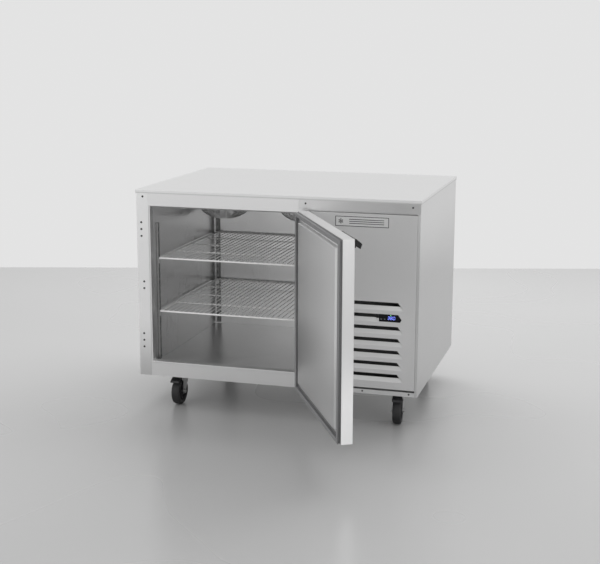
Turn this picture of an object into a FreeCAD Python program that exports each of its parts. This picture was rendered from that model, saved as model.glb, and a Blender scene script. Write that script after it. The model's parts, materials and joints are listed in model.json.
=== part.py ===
import FreeCAD, Part
import math
import os

# Undercounter refrigerator with one hinged door, a machine compartment and four casters.
# Millimetres, +Z up. Design frame: X from the cabinet's left side, Y from its front face
# towards the back, Z from its underside. place() moves the finished shapes to the row
# frame, whose origin is on the floor, in the middle of the whole footprint.

# ---- driving dimensions ----
WIDTH = 1054.0
DEPTH = 762.0
HEIGHT = 699.0
FLOOR_GAP = 127.0
SHEET = 1.0
LIP_OVERHANG = 2.0
LIP_HEIGHT = 13.0
WALL_TOP = HEIGHT - 2.0

OPENING_X = (50.0, 619.0)
OPENING_Z = (51.0, 641.5)
CAVITY_X = (58.0, 611.0)
CAVITY_Z = (49.5, 640.0)
CAVITY_BACK = 670.0
CAVITY_FRONT = 16.0
STRIP_BOTTOM = 652.0
SILL_TOP = 50.0
LOWER_FLANGE_TOP = 15.8
RETURN_X = 1043.6

DOOR_X = (32.0, 637.0)
DOOR_Z = (6.0, 651.0)
DOOR_GAP = 12.5
DOOR_THICKNESS = 38.0
DOOR_OPEN_DEG = 119.0
PIN_X = 642.0
PIN_Y = -30.0
PIN_RADIUS = 2.5
HINGE_HEIGHTS = (110.0, 588.0)

PANEL_X = (646.5, 1043.0)
PANEL_Z = (21.6, 646.5)
PANEL_SHEET = 1.2
LOUVRE_COUNT = 7
LOUVRE_TOP = 337.2
LOUVRE_PITCH = 43.2
LOUVRE_X = (706.0, 991.0)

CASTER_X = (125.0, 967.0)
CASTER_FRONT_Y = 112.0
CASTER_BACK_Y = 640.0
TRAIL = 32.0
WHEEL_RADIUS = 50.0
WHEEL_WIDTH = 32.0
AXLE_RADIUS = 4.0
KINGPIN_RADIUS = 5.0
RUNNING_GAP = 0.05

SHELF_HEIGHTS = {"shelf_upper": 442.0, "shelf_lower": 241.0}
FAN_X = (167.0, 502.0)
FAN_Y = 490.0
EVAPORATOR_Z = 578.0

X_AXIS = FreeCAD.Vector(1, 0, 0)
Z_AXIS = FreeCAD.Vector(0, 0, 1)

# The open door's free corner is the frontmost point and the cable gland the rearmost one.
GLAND_REACH = 14.0
GASKET_INSET = 2.0
GASKET_DEPTH = DOOR_GAP - 0.3


def swung(x, y):
    """A point of the closed door, turned to the open rest position."""
    turn = math.radians(DOOR_OPEN_DEG)
    across = x - PIN_X
    along = y - PIN_Y
    new_x = PIN_X + across * math.cos(turn) - along * math.sin(turn)
    new_y = PIN_Y + across * math.sin(turn) + along * math.cos(turn)
    return new_x, new_y


FRONT_REACH = min(swung(DOOR_X[0], -DOOR_GAP)[1],
                  swung(DOOR_X[0] + GASKET_INSET, -DOOR_GAP + GASKET_DEPTH)[1])
ORIGIN_X = WIDTH / 2.0
ORIGIN_Y = (FRONT_REACH + DEPTH + GLAND_REACH) / 2.0


# ---- small shape helpers ----
def box(x, y, z):
    """A box from three (low, high) pairs."""
    corner = FreeCAD.Vector(x[0], y[0], z[0])
    return Part.makeBox(x[1] - x[0], y[1] - y[0], z[1] - z[0], corner)


def rod(start, end, radius):
    a = FreeCAD.Vector(*start)
    b = FreeCAD.Vector(*end)
    return Part.makeCylinder(radius, a.distanceToPoint(b), a, b - a)


def ring(start, end, outer, inner):
    return rod(start, end, outer).cut(rod(start, end, inner))


def fuse(shapes):
    shapes = list(shapes)
    return shapes[0].multiFuse(shapes[1:]).removeSplitter() if len(shapes) > 1 else shapes[0]


def group(shapes):
    return Part.makeCompound(list(shapes))


def cut_all(shape, tools):
    return shape.cut(group(tools))


def polygon(points):
    vectors = [FreeCAD.Vector(*p) for p in points]
    return Part.makePolygon(vectors + vectors[:1])


def prism(points, direction):
    return Part.Face(polygon(points)).extrude(FreeCAD.Vector(*direction))


def frustum(x, z, y, inset):
    """A block from y[0] to y[1] whose far face is smaller by inset on every side."""
    near = [(x[0], y[0], z[0]), (x[1], y[0], z[0]), (x[1], y[0], z[1]), (x[0], y[0], z[1])]
    far = [(x[0] + inset, y[1], z[0] + inset), (x[1] - inset, y[1], z[0] + inset),
           (x[1] - inset, y[1], z[1] - inset), (x[0] + inset, y[1], z[1] - inset)]
    return Part.makeLoft([polygon(near), polygon(far)], True, True)


def upright_edges(shape, x, y):
    """The vertical edges of shape that stand at (x, y)."""
    return [e for e in shape.Edges if all(
        abs(v.Point.x - x) < 0.01 and abs(v.Point.y - y) < 0.01 for v in e.Vertexes)]


def tube(points, radius, bend):
    """A round tube along straight runs joined by tangent arcs of radius bend."""
    corners = [FreeCAD.Vector(*p) for p in points]
    edges = []
    last = corners[0]
    for before, corner, after in zip(corners, corners[1:], corners[2:]):
        back = (before - corner).normalize()
        ahead = (after - corner).normalize()
        half = back.getAngle(ahead) / 2.0
        reach = bend / math.tan(half)
        start = corner + back * reach
        end = corner + ahead * reach
        centre = corner + (back + ahead).normalize() * (bend / math.sin(half))
        middle = centre + (corner - centre).normalize() * bend
        edges.append(Part.makeLine(last, start))
        edges.append(Part.Arc(start, middle, end).toShape())
        last = end
    edges.append(Part.makeLine(last, corners[-1]))
    path = Part.Wire(edges)
    heading = corners[1] - corners[0]
    profile = Part.Wire([Part.makeCircle(radius, corners[0], heading)])
    return path.makePipeShell([profile], True, False)


def screws(places, head, shank, reach, direction):
    """Pan-head screws: heads sit on the face at each place and shanks run along direction."""
    ahead = FreeCAD.Vector(*direction)
    made = []
    for place_at in places:
        face = FreeCAD.Vector(*place_at)
        top = Part.makeCylinder(head, 0.55 * head, face - ahead * (0.55 * head), ahead)
        top = top.makeFillet(0.25 * head, [top.Edges[0] if top.Edges[0].Closed else top.Edges[2]])
        made.append(top.fuse(Part.makeCylinder(shank, reach, face, ahead)).removeSplitter())
    return group(made)


# ---- cabinet shell ----
def worktop():
    x = (-LIP_OVERHANG, WIDTH + LIP_OVERHANG)
    y = (-LIP_OVERHANG, DEPTH + LIP_OVERHANG)
    slab = box(x, y, (HEIGHT - LIP_HEIGHT, HEIGHT))
    rim = [e for e in slab.Edges if min(v.Point.z for v in e.Vertexes) > HEIGHT - 0.01]
    slab = slab.makeFillet(1.6, rim)
    inside = box((x[0] + SHEET, x[1] - SHEET), (y[0] + SHEET, y[1] - SHEET),
                 (HEIGHT - LIP_HEIGHT - 1, HEIGHT - SHEET))
    return slab.cut(inside)


PLUG_PLACES = ([(25.7, 673.7)] + [(18.5, z) for z in (578.4, 553.0, 527.6)]
               + [(24.7, z) for z in (357.6, 332.2)]
               + [(19.5, z) for z in (159.9, 134.5, 109.1)])
STRIP_SCREWS = [(644.0, 673.7), (1026.0, 673.7)]
FLANGE_SCREWS = [(856.0, 9.0), (1024.0, 9.0)]
PLUG_RADIUS = 3.0
SCREW_SHANK = 1.9
SCREW_HEAD = 3.3


def side_panel_left():
    """Side sheet and the front stile folded from it."""
    sheet = fuse([box((0, SHEET), (0, DEPTH - 1), (0, WALL_TOP)),
                  box((0, 46.5), (0, SHEET), (0, WALL_TOP))])
    sheet = sheet.makeFillet(2.2, upright_edges(sheet, 0, 0))
    holes = [rod((x, -1, z), (x, 3, z), PLUG_RADIUS + 0.1) for x, z in PLUG_PLACES]
    return cut_all(sheet, holes)


def side_panel_right():
    """Side sheet with a narrow front return behind the louvred panel."""
    sheet = fuse([box((WIDTH - SHEET, WIDTH), (0, DEPTH - 1), (0, WALL_TOP)),
                  box((RETURN_X, WIDTH), (0, SHEET), (0, STRIP_BOTTOM - 0.4))])
    return sheet.makeFillet(1.8, upright_edges(sheet, WIDTH, 0))


def back_panel():
    """Back sheet with air slots behind the machine compartment and a gland hole."""
    sheet = box((SHEET + 0.2, WIDTH - SHEET - 0.2), (DEPTH - SHEET, DEPTH), (0, WALL_TOP))
    slots = [box((x, x + 150), (DEPTH - 3, DEPTH + 1), (z, z + 7))
             for x in (680, 858) for z in range(110, 470, 20)]
    slots.append(rod((700, DEPTH - 3, 60), (700, DEPTH + 1, 60), 8.2))
    return cut_all(sheet, slots)


def bottom_panel():
    """Floor sheet with the sill and the lower flange folded up from its front."""
    floor = box((SHEET + 0.2, WIDTH - SHEET - 0.2), (SHEET + 0.2, DEPTH - SHEET - 0.3), (0, SHEET))
    sill = box((46.8, 645.0), (0, SHEET + 0.2), (0, SILL_TOP))
    flange = box((645.0, RETURN_X - 0.2), (0, SHEET + 0.2), (0, LOWER_FLANGE_TOP))
    lip = box(OPENING_X, (SHEET, 14.0), (SILL_TOP - SHEET, SILL_TOP))
    sheet = fuse([floor, sill, flange, lip])
    holes = [rod((x, -1, z), (x, 3, z), SCREW_SHANK + 0.1) for x, z in FLANGE_SCREWS]
    holes += [rod((x, y, -1), (x, y, 3), BOLT_RADIUS + 0.15) for x, y in caster_bolt_places()]
    return cut_all(sheet, holes)


def door_header():
    face = box((46.8, OPENING_X[1] - 0.3), (0, SHEET), (OPENING_Z[1], WALL_TOP))
    lip = box((OPENING_X[0], OPENING_X[1] - 0.3), (SHEET, 14.0), (OPENING_Z[1], OPENING_Z[1] + SHEET))
    return fuse([face, lip])


def partition_panel():
    """The mullion beside the door and the compartment wall folded from it."""
    face = box((OPENING_X[1], 645.0), (0, SHEET + 0.4), (SILL_TOP + 0.3, WALL_TOP))
    wall = box((644.0, 645.0), (SHEET + 0.3, DEPTH - SHEET - 0.3), (SHEET + 0.3, WALL_TOP))
    sheet = fuse([face, wall])
    holes = [rod((x, -1, z), (x, 3, z), SCREW_SHANK + 0.1) for x, y, z in hinge_screw_places()]
    holes += [rod((x, -1, z), (x, 13, z), SCREW_SHANK + 0.1) for x, z in STRIP_SCREWS[:1]]
    holes += [rod((x, y, z), (x + 4, y, z), 10.0) for x, y, z in pipe_wall_places()]
    return cut_all(sheet, holes)


def breaker_strip():
    """Thermal break trim round the opening, sloping in to the liner."""
    outer = box((OPENING_X[0] - 5.0, OPENING_X[1] - 0.2), (SHEET + 0.3, CAVITY_FRONT - 0.2),
                (SILL_TOP + 0.3, OPENING_Z[1] - 0.2))
    grown = 5.0
    hole = frustum((CAVITY_X[0] - grown, CAVITY_X[1] + grown), (61.0 - grown, 635.0 + grown),
                   (SHEET + 0.2, CAVITY_FRONT), grown)
    front = box((OPENING_X[0] + 3, OPENING_X[1] - 3), (0, SHEET + 0.3 + 0.1), (54, 638.5))
    return outer.cut(hole).cut(front)


LINER_SHEET = 0.8
LINER_SEAM = 0.3


def liner_shell():
    """Inner box of five flat sheets with sealed seams, open at the front; two lines pass its right wall."""
    t = LINER_SHEET
    deep = (CAVITY_FRONT, CAVITY_BACK - LINER_SEAM)
    tall = (CAVITY_Z[0] - t, CAVITY_Z[1] + t)
    wide = (CAVITY_X[0] + LINER_SEAM, CAVITY_X[1] - LINER_SEAM)
    left = box((CAVITY_X[0] - t, CAVITY_X[0]), deep, tall)
    right = box((CAVITY_X[1], CAVITY_X[1] + t), deep, tall)
    holes = [rod((CAVITY_X[1] - 2, y, z), (CAVITY_X[1] + 4, y, z), 10.0)
             for x, y, z in pipe_wall_places()]
    bottom = box(wide, deep, (CAVITY_Z[0] - t, CAVITY_Z[0]))
    top = box(wide, deep, (CAVITY_Z[1], CAVITY_Z[1] + t))
    back = box((CAVITY_X[0] - t, CAVITY_X[1] + t), (CAVITY_BACK, CAVITY_BACK + t), tall)
    return group([left, cut_all(right, holes), bottom, top, back])


def insulation_foam():
    """Foam blocks between the liner and the outer sheets, one to each wall."""
    gap = 0.3
    deep = (CAVITY_FRONT + 0.2, DEPTH - SHEET - gap)
    tall = (SHEET + gap, WALL_TOP - gap)
    x0 = CAVITY_X[0] - 0.8 - gap
    x1 = CAVITY_X[1] + 0.8 + gap
    blocks = [box((SHEET + gap, x0), deep, tall), box((x1, 643.7), deep, tall)]
    middle = (x0 + gap, x1 - gap)
    blocks.append(box(middle, deep, (CAVITY_Z[1] + 0.8 + gap, WALL_TOP - gap)))
    blocks.append(box(middle, deep, (SHEET + gap, CAVITY_Z[0] - 0.8 - gap)))
    blocks.append(box(middle, (CAVITY_BACK + 0.8 + gap, deep[1]), (CAVITY_Z[0], CAVITY_Z[1])))
    holes = [rod((x1 - 1, y, z), (645, y, z), 10.0) for x, y, z in pipe_wall_places()]
    blocks[1] = cut_all(blocks[1], holes)
    return group(blocks)


# ---- shelves and what holds them ----
PILASTER_DEPTH = 9.0
PILASTER_WIDTH = 20.0
PILASTER_Z = (54.0, 572.0)
FRONT_PILASTER_Y = 36.0
REAR_PILASTER_INSET = 4.0


def pilaster():
    """A slotted shelf standard: a shallow channel lying on the XZ plane, open towards -Y."""
    w = PILASTER_WIDTH
    web = box((0, w), (PILASTER_DEPTH - 1.2, PILASTER_DEPTH), PILASTER_Z)
    sides = [box((x, x + 1.2), (0, PILASTER_DEPTH), PILASTER_Z) for x in (4.0, w - 5.2)]
    face = box((4.0, w - 4.0), (0, 1.2), PILASTER_Z)
    flanges = fuse([web, face] + sides)
    pitch = 25.4
    rows = int((PILASTER_Z[1] - PILASTER_Z[0]) / pitch)
    slots = [box((6.5, w - 6.5), (-1, 2), (PILASTER_Z[0] + 8 + n * pitch, PILASTER_Z[0] + 20 + n * pitch))
             for n in range(rows)]
    return cut_all(flanges, slots)


def shelf_pilasters():
    """Rear pair on the back wall, front pair on the side walls."""
    rear_y = CAVITY_BACK - PILASTER_DEPTH - 0.1
    left_rear = pilaster()
    left_rear.translate(FreeCAD.Vector(CAVITY_X[0] + REAR_PILASTER_INSET, rear_y, 0))
    right_rear = pilaster()
    right_rear.translate(FreeCAD.Vector(CAVITY_X[1] - REAR_PILASTER_INSET - PILASTER_WIDTH, rear_y, 0))
    left_front = pilaster()
    left_front.rotate(FreeCAD.Vector(0, 0, 0), Z_AXIS, 90)
    left_front.translate(FreeCAD.Vector(CAVITY_X[0] + PILASTER_DEPTH + 0.1, FRONT_PILASTER_Y, 0))
    right_front = pilaster()
    right_front.rotate(FreeCAD.Vector(0, 0, 0), Z_AXIS, -90)
    right_front.translate(FreeCAD.Vector(CAVITY_X[1] - PILASTER_DEPTH - 0.1,
                                         FRONT_PILASTER_Y + PILASTER_WIDTH, 0))
    return group([left_rear, right_rear, left_front, right_front])


SHELF_X = (71.0, 598.0)
SHELF_Y = (34.0, 656.0)
FRAME_WIRE = 3.2
CROSS_WIRE = 2.6
FINE_WIRE = 1.5
FINE_PITCH = 20.0


def shelf(height):
    """Wire shelf: a frame and cross wires with close-set wires running front to back on top."""
    r = FRAME_WIRE
    x0, x1 = SHELF_X
    y0, y1 = SHELF_Y
    loop = tube([(x0 + 60, y0, height), (x1, y0, height), (x1, y1, height), (x0, y1, height),
                 (x0, y0, height), (x0 + 60, y0, height)], r, 8.0)
    cross = [rod((x0, y, height), (x1, y, height), CROSS_WIRE)
             for y in (y0 + 155, y0 + 311, y0 + 467)]
    top = height + FRAME_WIRE + FINE_WIRE - 0.5
    count = int((x1 - x0 - 14) / FINE_PITCH)
    first = (x0 + x1 - count * FINE_PITCH) / 2.0
    fine = [rod((first + n * FINE_PITCH, y0 - 2, top), (first + n * FINE_PITCH, y1 + 2, top), FINE_WIRE)
            for n in range(count + 1)]
    lift = FreeCAD.Vector(0, 0, FRAME_WIRE - CROSS_WIRE)
    for wire in cross:
        wire.translate(lift)
    return fuse([loop] + cross + fine)


def shelf_clips():
    """Sheet clips hooked into the pilasters, with a foot under each shelf corner."""
    made = []
    drop = FRAME_WIRE + 0.3
    for height in SHELF_HEIGHTS.values():
        top = height - drop
        z = (top - 2.0, top)
        for side in (0, 1):
            out = CAVITY_X[side]
            sign = 1 if side == 0 else -1
            reach = sorted((out + sign * (PILASTER_DEPTH + 0.5), out + sign * 24.0))
            upright = sorted((out + sign * (PILASTER_DEPTH + 0.5), out + sign * (PILASTER_DEPTH + 1.7)))
            y = (FRONT_PILASTER_Y + 4, FRONT_PILASTER_Y + PILASTER_WIDTH - 4)
            made.append(fuse([box(reach, y, z), box(upright, y, (z[0] - 16, z[1]))]))
            rear = CAVITY_BACK - PILASTER_DEPTH - 0.6
            centre = out + sign * (REAR_PILASTER_INSET + PILASTER_WIDTH / 2.0)
            x = (centre - 6, centre + 6)
            foot = box(x, (rear - 14, rear), z)
            made.append(fuse([foot, box(x, (rear - 1.2, rear), (z[0] - 16, z[1]))]))
    return group(made)


# ---- evaporator unit under the cavity ceiling ----
COVER_X = (60.0, 609.0)
COVER_Y = (384.0, 655.0)
FAN_HOLE = 90.0
FAN_BLADE = 84.0
STRAP_REACH = 95.0
COIL_Y = (600.0, 648.0)


def evaporator_cover():
    """Folded cover with two fan holes below, open at the top and slotted along the front."""
    outer = box(COVER_X, COVER_Y, (EVAPORATOR_Z, CAVITY_Z[1] - 0.3))
    inner = box((COVER_X[0] + 1, COVER_X[1] - 1), (COVER_Y[0] + 1, COVER_Y[1] - 1),
                (EVAPORATOR_Z + 1, CAVITY_Z[1]))
    holes = [rod((x, FAN_Y, EVAPORATOR_Z - 1), (x, FAN_Y, EVAPORATOR_Z + 3), FAN_HOLE) for x in FAN_X]
    holes += [box((x, x + 60), (COVER_Y[0] - 1, COVER_Y[0] + 2), (z, z + 8))
              for x in range(76, 560, 76) for z in (594, 608, 622)]
    holes += [rod((x - 60, y, z), (COVER_X[1] + 1, y, z), 10.0) for x, y, z in pipe_wall_places()]
    return cut_all(outer.cut(inner), holes)


COIL_X = (112.0, 556.0)
COIL_TUBE_Y = (COIL_Y[0] + 12.0, COIL_Y[1] - 12.0)


def coil_level(row):
    """Height of one row of the evaporator's tubes."""
    return EVAPORATOR_Z + 18.0 + 16.0 * row


def evaporator_coil():
    """Finned block with tube bends at both ends; the middle row on the right takes the two lines."""
    pack = [box(COIL_X, COIL_Y, (EVAPORATOR_Z + 6, CAVITY_Z[1] - 6))]
    for side, sign, rows in ((COIL_X[0], -1, (0, 1, 2)), (COIL_X[1], 1, (0, 2))):
        for row in rows:
            ends = [(side - sign, y, coil_level(row)) for y in COIL_TUBE_Y]
            tips = [(side + sign * 14, y, coil_level(row)) for y in COIL_TUBE_Y]
            pack.append(tube([ends[0], tips[0], tips[1], ends[1]], 4.0, 8.0))
    return fuse(pack)


MOTOR_TOP = CAVITY_Z[1] - 8.0


def evaporator_fan_motors():
    """Two small motors hung from a strap, shafts pointing down."""
    made = []
    for x in FAN_X:
        can = rod((x, FAN_Y, EVAPORATOR_Z + 24), (x, FAN_Y, MOTOR_TOP), 26.0)
        reach = STRAP_REACH
        strap = box((x - reach, x + reach), (FAN_Y - 9, FAN_Y + 9), (MOTOR_TOP - 3, MOTOR_TOP))
        legs = [box((x + s * reach - 1.5, x + s * reach + 1.5), (FAN_Y - 9, FAN_Y + 9),
                    (EVAPORATOR_Z + 1.3, MOTOR_TOP)) for s in (-1, 1)]
        shaft = rod((x, FAN_Y, EVAPORATOR_Z + 2), (x, FAN_Y, EVAPORATOR_Z + 25), 3.0)
        made.append(fuse([can, strap, shaft] + legs))
    return group(made)


def fan_blade_set(radius, hub, depth, count, bore, pitch_deg):
    """Hub and pitched blades round +Z, from z = 0 to depth."""
    pieces = [Part.makeCylinder(hub, depth)]
    width = 0.62 * radius
    for n in range(count):
        blade = Part.makeBox(radius - hub + 2, width, 1.4, FreeCAD.Vector(hub - 2, -width / 2, -0.7))
        blade.rotate(FreeCAD.Vector(0, 0, 0), X_AXIS, pitch_deg)
        blade.translate(FreeCAD.Vector(0, 0, depth / 2.0))
        blade.rotate(FreeCAD.Vector(0, 0, 0), Z_AXIS, n * 360.0 / count)
        pieces.append(blade)
    fan = fuse(pieces).common(Part.makeCylinder(radius, depth))
    return fan.cut(Part.makeCylinder(bore, depth))


def evaporator_fan(x):
    fan = fan_blade_set(FAN_BLADE, 16.0, 18.0, 5, 3.0 + RUNNING_GAP, 20.0)
    fan.translate(FreeCAD.Vector(x, FAN_Y, EVAPORATOR_Z + 2.5))
    return fan


GUARD_WIRE = 1.5
GUARD_PROFILE = ((98.0, 0.0), (92.0, 14.0), (80.0, 25.0), (62.0, 35.0), (42.0, 42.0), (22.0, 42.0))


def guard_rib():
    """A flat rib that follows the dome, from the outer ring to the boss, in the XZ plane."""
    half = 1.0
    line = [(r, -drop) for r, drop in GUARD_PROFILE[:-1]] + [(10.0, -GUARD_PROFILE[-1][1])]
    upper = [(r, -half, z + half) for r, z in line]
    lower = [(r, -half, z - half) for r, z in reversed(line)]
    return prism(upper + lower, (0, 2 * half, 0))


def evaporator_fan_guards():
    """Domed wire guards below the fan holes: rings joined by ribs, with a boss in the middle."""
    wire = GUARD_WIRE
    guard = [ring((0, 0, -drop - wire), (0, 0, wire - drop), r + wire, r - wire)
             for r, drop in GUARD_PROFILE]
    bottom = -GUARD_PROFILE[-1][1] - wire - 0.5
    guard.append(Part.makeCylinder(15.0, 2 * wire + 1, FreeCAD.Vector(0, 0, bottom)))
    for n in range(8):
        rib = guard_rib()
        rib.rotate(FreeCAD.Vector(0, 0, 0), Z_AXIS, n * 45.0 + 22.5)
        guard.append(rib)
    whole = fuse(guard)
    return group([moved(whole.copy(), x, FAN_Y, EVAPORATOR_Z - GUARD_WIRE - 0.2) for x in FAN_X])


def drain_tube():
    """Condensate drain: from the cover's underside back to a collar on the rear wall."""
    x = COVER_X[1] - 274.5
    z = EVAPORATOR_Z - 20.0
    wall = CAVITY_BACK - 0.2
    pipe = tube([(x, COVER_Y[1] - 20, EVAPORATOR_Z - 0.2), (x, COVER_Y[1] - 20, z), (x, wall, z)], 6.0, 11.0)
    return fuse([pipe, rod((x, wall - 4, z), (x, wall, z), 11.0)])


# ---- door ----
SKIN = 0.9
INNER_RISE = 11.0
HANDLE_LENGTH = 160.0


def door_faces():
    return -DOOR_GAP - DOOR_THICKNESS, -DOOR_GAP


def door_skin():
    """Outer pan: a face with four folded edges and small returns inside."""
    front, back = door_faces()
    outer = box(DOOR_X, (front, back), DOOR_Z)
    corners = [e for e in outer.Edges if max(v.Point.y for v in e.Vertexes) < front + 0.01]
    outer = outer.makeFillet(1.4, corners)
    inner = box((DOOR_X[0] + SKIN, DOOR_X[1] - SKIN), (front + SKIN, back + 1),
                (DOOR_Z[0] + SKIN, DOOR_Z[1] - SKIN))
    holes = [rod((DOOR_X[1] - 3, y, z), (DOOR_X[1] + 1, y, z), SCREW_SHANK + 0.1)
             for y, z in leaf_screw_places()]
    return cut_all(outer.cut(inner), holes)


def door_panel(rise, inset_all, y_base):
    """The raised field of the door's inner face, on which the foam and liner share a shape."""
    x = (DOOR_X[0] + 44 + inset_all, DOOR_X[1] - 44 - inset_all)
    z = (DOOR_Z[0] + 34 + inset_all, DOOR_Z[1] - 29 - inset_all)
    return frustum(x, z, (y_base, y_base + rise), 5.0)


def door_liner():
    """Inner sheet with its field raised towards the cavity."""
    back = door_faces()[1]
    rim = SKIN + 0.3
    sheet = box((DOOR_X[0] + rim, DOOR_X[1] - rim), (back - 1.0, back), (DOOR_Z[0] + rim, DOOR_Z[1] - rim))
    raised = door_panel(INNER_RISE, 0.0, back - 0.01)
    hollow = door_panel(INNER_RISE, 1.0, back - 1.02)
    return fuse([sheet, raised]).cut(hollow)


def door_foam():
    front, back = door_faces()
    gap = SKIN + 0.2
    block = box((DOOR_X[0] + gap, DOOR_X[1] - gap), (front + gap, back - 1.3),
                (DOOR_Z[0] + gap, DOOR_Z[1] - gap))
    field = door_panel(INNER_RISE - 0.4, 1.4, back - 1.31)
    notch = [rod((DOOR_X[1] - 16, y, z), (DOOR_X[1], y, z), SCREW_SHANK + 0.2)
             for y, z in leaf_screw_places()]
    return cut_all(fuse([block, field]), notch)


def rim_frame(inset, width, y):
    """A rectangular frame lying on the door's inner face."""
    x = (DOOR_X[0] + inset, DOOR_X[1] - inset)
    z = (DOOR_Z[0] + inset, DOOR_Z[1] - inset)
    outer = box(x, y, z)
    inner = box((x[0] + width, x[1] - width), (y[0] - 1, y[1] + 1), (z[0] + width, z[1] - width))
    return outer.cut(inner)


def door_gasket():
    """Magnetic gasket: a foot on the liner, a bellows neck and a flat sealing bulb."""
    back = door_faces()[1] + 0.1
    tip = door_faces()[1] + GASKET_DEPTH
    foot = rim_frame(GASKET_INSET, 18.0, (back, back + 2.0))
    neck = rim_frame(GASKET_INSET + 3.0, 9.0, (back + 1.0, back + 5.0))
    fold = rim_frame(GASKET_INSET + 0.5, 14.0, (back + 4.4, back + 6.4))
    waist = rim_frame(GASKET_INSET + 2.0, 11.0, (back + 6.0, back + 8.0))
    bulb = rim_frame(GASKET_INSET, 15.0, (back + 7.6, tip))
    return fuse([foot, neck, fold, waist, bulb])


def door_handle():
    """Grip on the door's outer face at its top free corner: a back plate and a hooked flap."""
    front = door_faces()[0]
    top = DOOR_Z[1]
    x = (DOOR_X[0] - 0.5, DOOR_X[0] + HANDLE_LENGTH)
    outer = [(-0.2, 1.0), (-4.0, 0.6), (-20.5, -13.0), (-22.0, -17.0), (-17.5, -30.0)]
    inner = [(-14.6, -29.0), (-18.4, -17.6), (-16.8, -15.0), (-4.0, -5.0), (-3.2, -26.0), (-0.2, -26.0)]
    bar = prism([(x[0], front + out, top + rise) for out, rise in outer + inner], (x[1] - x[0], 0, 0))
    cheek = [(x[0], front + out, top + rise) for out, rise in outer + [(-0.2, -19.0)]]
    ends = [prism(cheek, (2.5, 0, 0)), prism(cheek, (2.5, 0, 0))]
    ends[1].translate(FreeCAD.Vector(x[1] - x[0] - 2.5, 0, 0))
    return fuse([bar] + ends)


# ---- hinges ----
LEAF_HALF = 29.5
LUG_HALF = 40.0
BASE_HALF = 56.0
KNUCKLE_RADIUS = 4.8
BASE_X = (638.0, 645.0)


def hinge_screw_places():
    return [(641.5, -5.0, z + s * 48.0) for z in HINGE_HEIGHTS for s in (-1, 1)]


def leaf_screw_places():
    return [(y, z + s * 19.0) for z in HINGE_HEIGHTS for s in (-1, 1) for y in (-21.0, -42.0)]


def hinge_brackets():
    """Two mullion brackets, each a base with two knuckle lugs."""
    made = []
    for z in HINGE_HEIGHTS:
        base = box(BASE_X, (-5.0, -0.2), (z - BASE_HALF, z + BASE_HALF))
        lugs = []
        for s in (-1, 1):
            span = sorted((z + s * (LEAF_HALF + 0.5), z + s * LUG_HALF))
            lugs.append(box((BASE_X[0] + 1, BASE_X[1]), (PIN_Y, -4.0), span))
            lugs.append(rod((PIN_X, PIN_Y, span[0]), (PIN_X, PIN_Y, span[1]), KNUCKLE_RADIUS))
        bracket = fuse([base] + lugs)
        bore = rod((PIN_X, PIN_Y, z - BASE_HALF), (PIN_X, PIN_Y, z + BASE_HALF), PIN_RADIUS + 0.02)
        holes = [rod((x, 1, at), (x, -9, at), SCREW_SHANK + 0.1) for x, y, at in hinge_screw_places()
                 if abs(at - z) < BASE_HALF]
        made.append(cut_all(bracket, [bore] + holes))
    return group(made)


def hinge_leaves():
    """Two door leaves, each a plate on the door's edge with one long knuckle."""
    made = []
    for z in HINGE_HEIGHTS:
        span = (z - LEAF_HALF, z + LEAF_HALF)
        plate = box((DOOR_X[1] + 0.1, DOOR_X[1] + 2.1), (-48.0, -14.0), span)
        knuckle = rod((PIN_X, PIN_Y, span[0]), (PIN_X, PIN_Y, span[1]), KNUCKLE_RADIUS)
        web = box((DOOR_X[1] + 0.1, PIN_X), (PIN_Y - 3, PIN_Y + 3), span)
        trim = box((0, DOOR_X[1] + 0.1), (-60, 0), span)
        bore = rod((PIN_X, PIN_Y, span[0] - 1), (PIN_X, PIN_Y, span[1] + 1), PIN_RADIUS + RUNNING_GAP)
        holes = [rod((DOOR_X[1] - 1, y, at), (DOOR_X[1] + 4, y, at), SCREW_SHANK + 0.1)
                 for y, at in leaf_screw_places() if abs(at - z) < LEAF_HALF]
        made.append(cut_all(fuse([plate, web, knuckle]), [trim, bore] + holes))
    return group(made)


def hinge_pins():
    made = []
    for z in HINGE_HEIGHTS:
        shank = rod((PIN_X, PIN_Y, z - LUG_HALF - 1), (PIN_X, PIN_Y, z + LUG_HALF + 0.4), PIN_RADIUS)
        head = rod((PIN_X, PIN_Y, z + LUG_HALF + 0.3), (PIN_X, PIN_Y, z + LUG_HALF + 2.8), 4.2)
        made.append(fuse([shank, head]))
    return group(made)


def leaf_screws():
    places = [(DOOR_X[1] + 2.2, y, z) for y, z in leaf_screw_places()]
    return screws(places, SCREW_HEAD - 0.3, SCREW_SHANK, 15.0, (-1, 0, 0))


# ---- machine compartment front ----
REBATE_DEPTH = 16.0
REBATE_DROP = 24.0


def fascia_strip():
    """Strip above the louvred panel, folded in and down behind it as a rebate."""
    low = STRIP_BOTTOM
    sheet = box((OPENING_X[1] + 0.6, WIDTH - 0.2), (-1.3, -0.2), (low, HEIGHT - LIP_HEIGHT - 0.3))
    inside = (645.3, WIDTH - SHEET - 0.3)
    shelf_fold = box(inside, (-1.3, REBATE_DEPTH), (low, low + SHEET))
    drop_fold = box(inside, (REBATE_DEPTH - SHEET, REBATE_DEPTH), (low - REBATE_DROP, low + SHEET))
    holes = [rod((x, -3, z), (x, 3, z), SCREW_SHANK + 0.1) for x, z in STRIP_SCREWS]
    return cut_all(fuse([sheet, shelf_fold, drop_fold]), holes)


def face_screws():
    """Screws of the strip, the lower flange and the hinge brackets."""
    places = [(x, -1.4, z) for x, z in STRIP_SCREWS]
    places += [(x, -0.1, z) for x, z in FLANGE_SCREWS]
    places += [(x, y - 0.1, z) for x, y, z in hinge_screw_places()]
    return screws(places, SCREW_HEAD, SCREW_SHANK, 11.0, (0, 1, 0))


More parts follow.
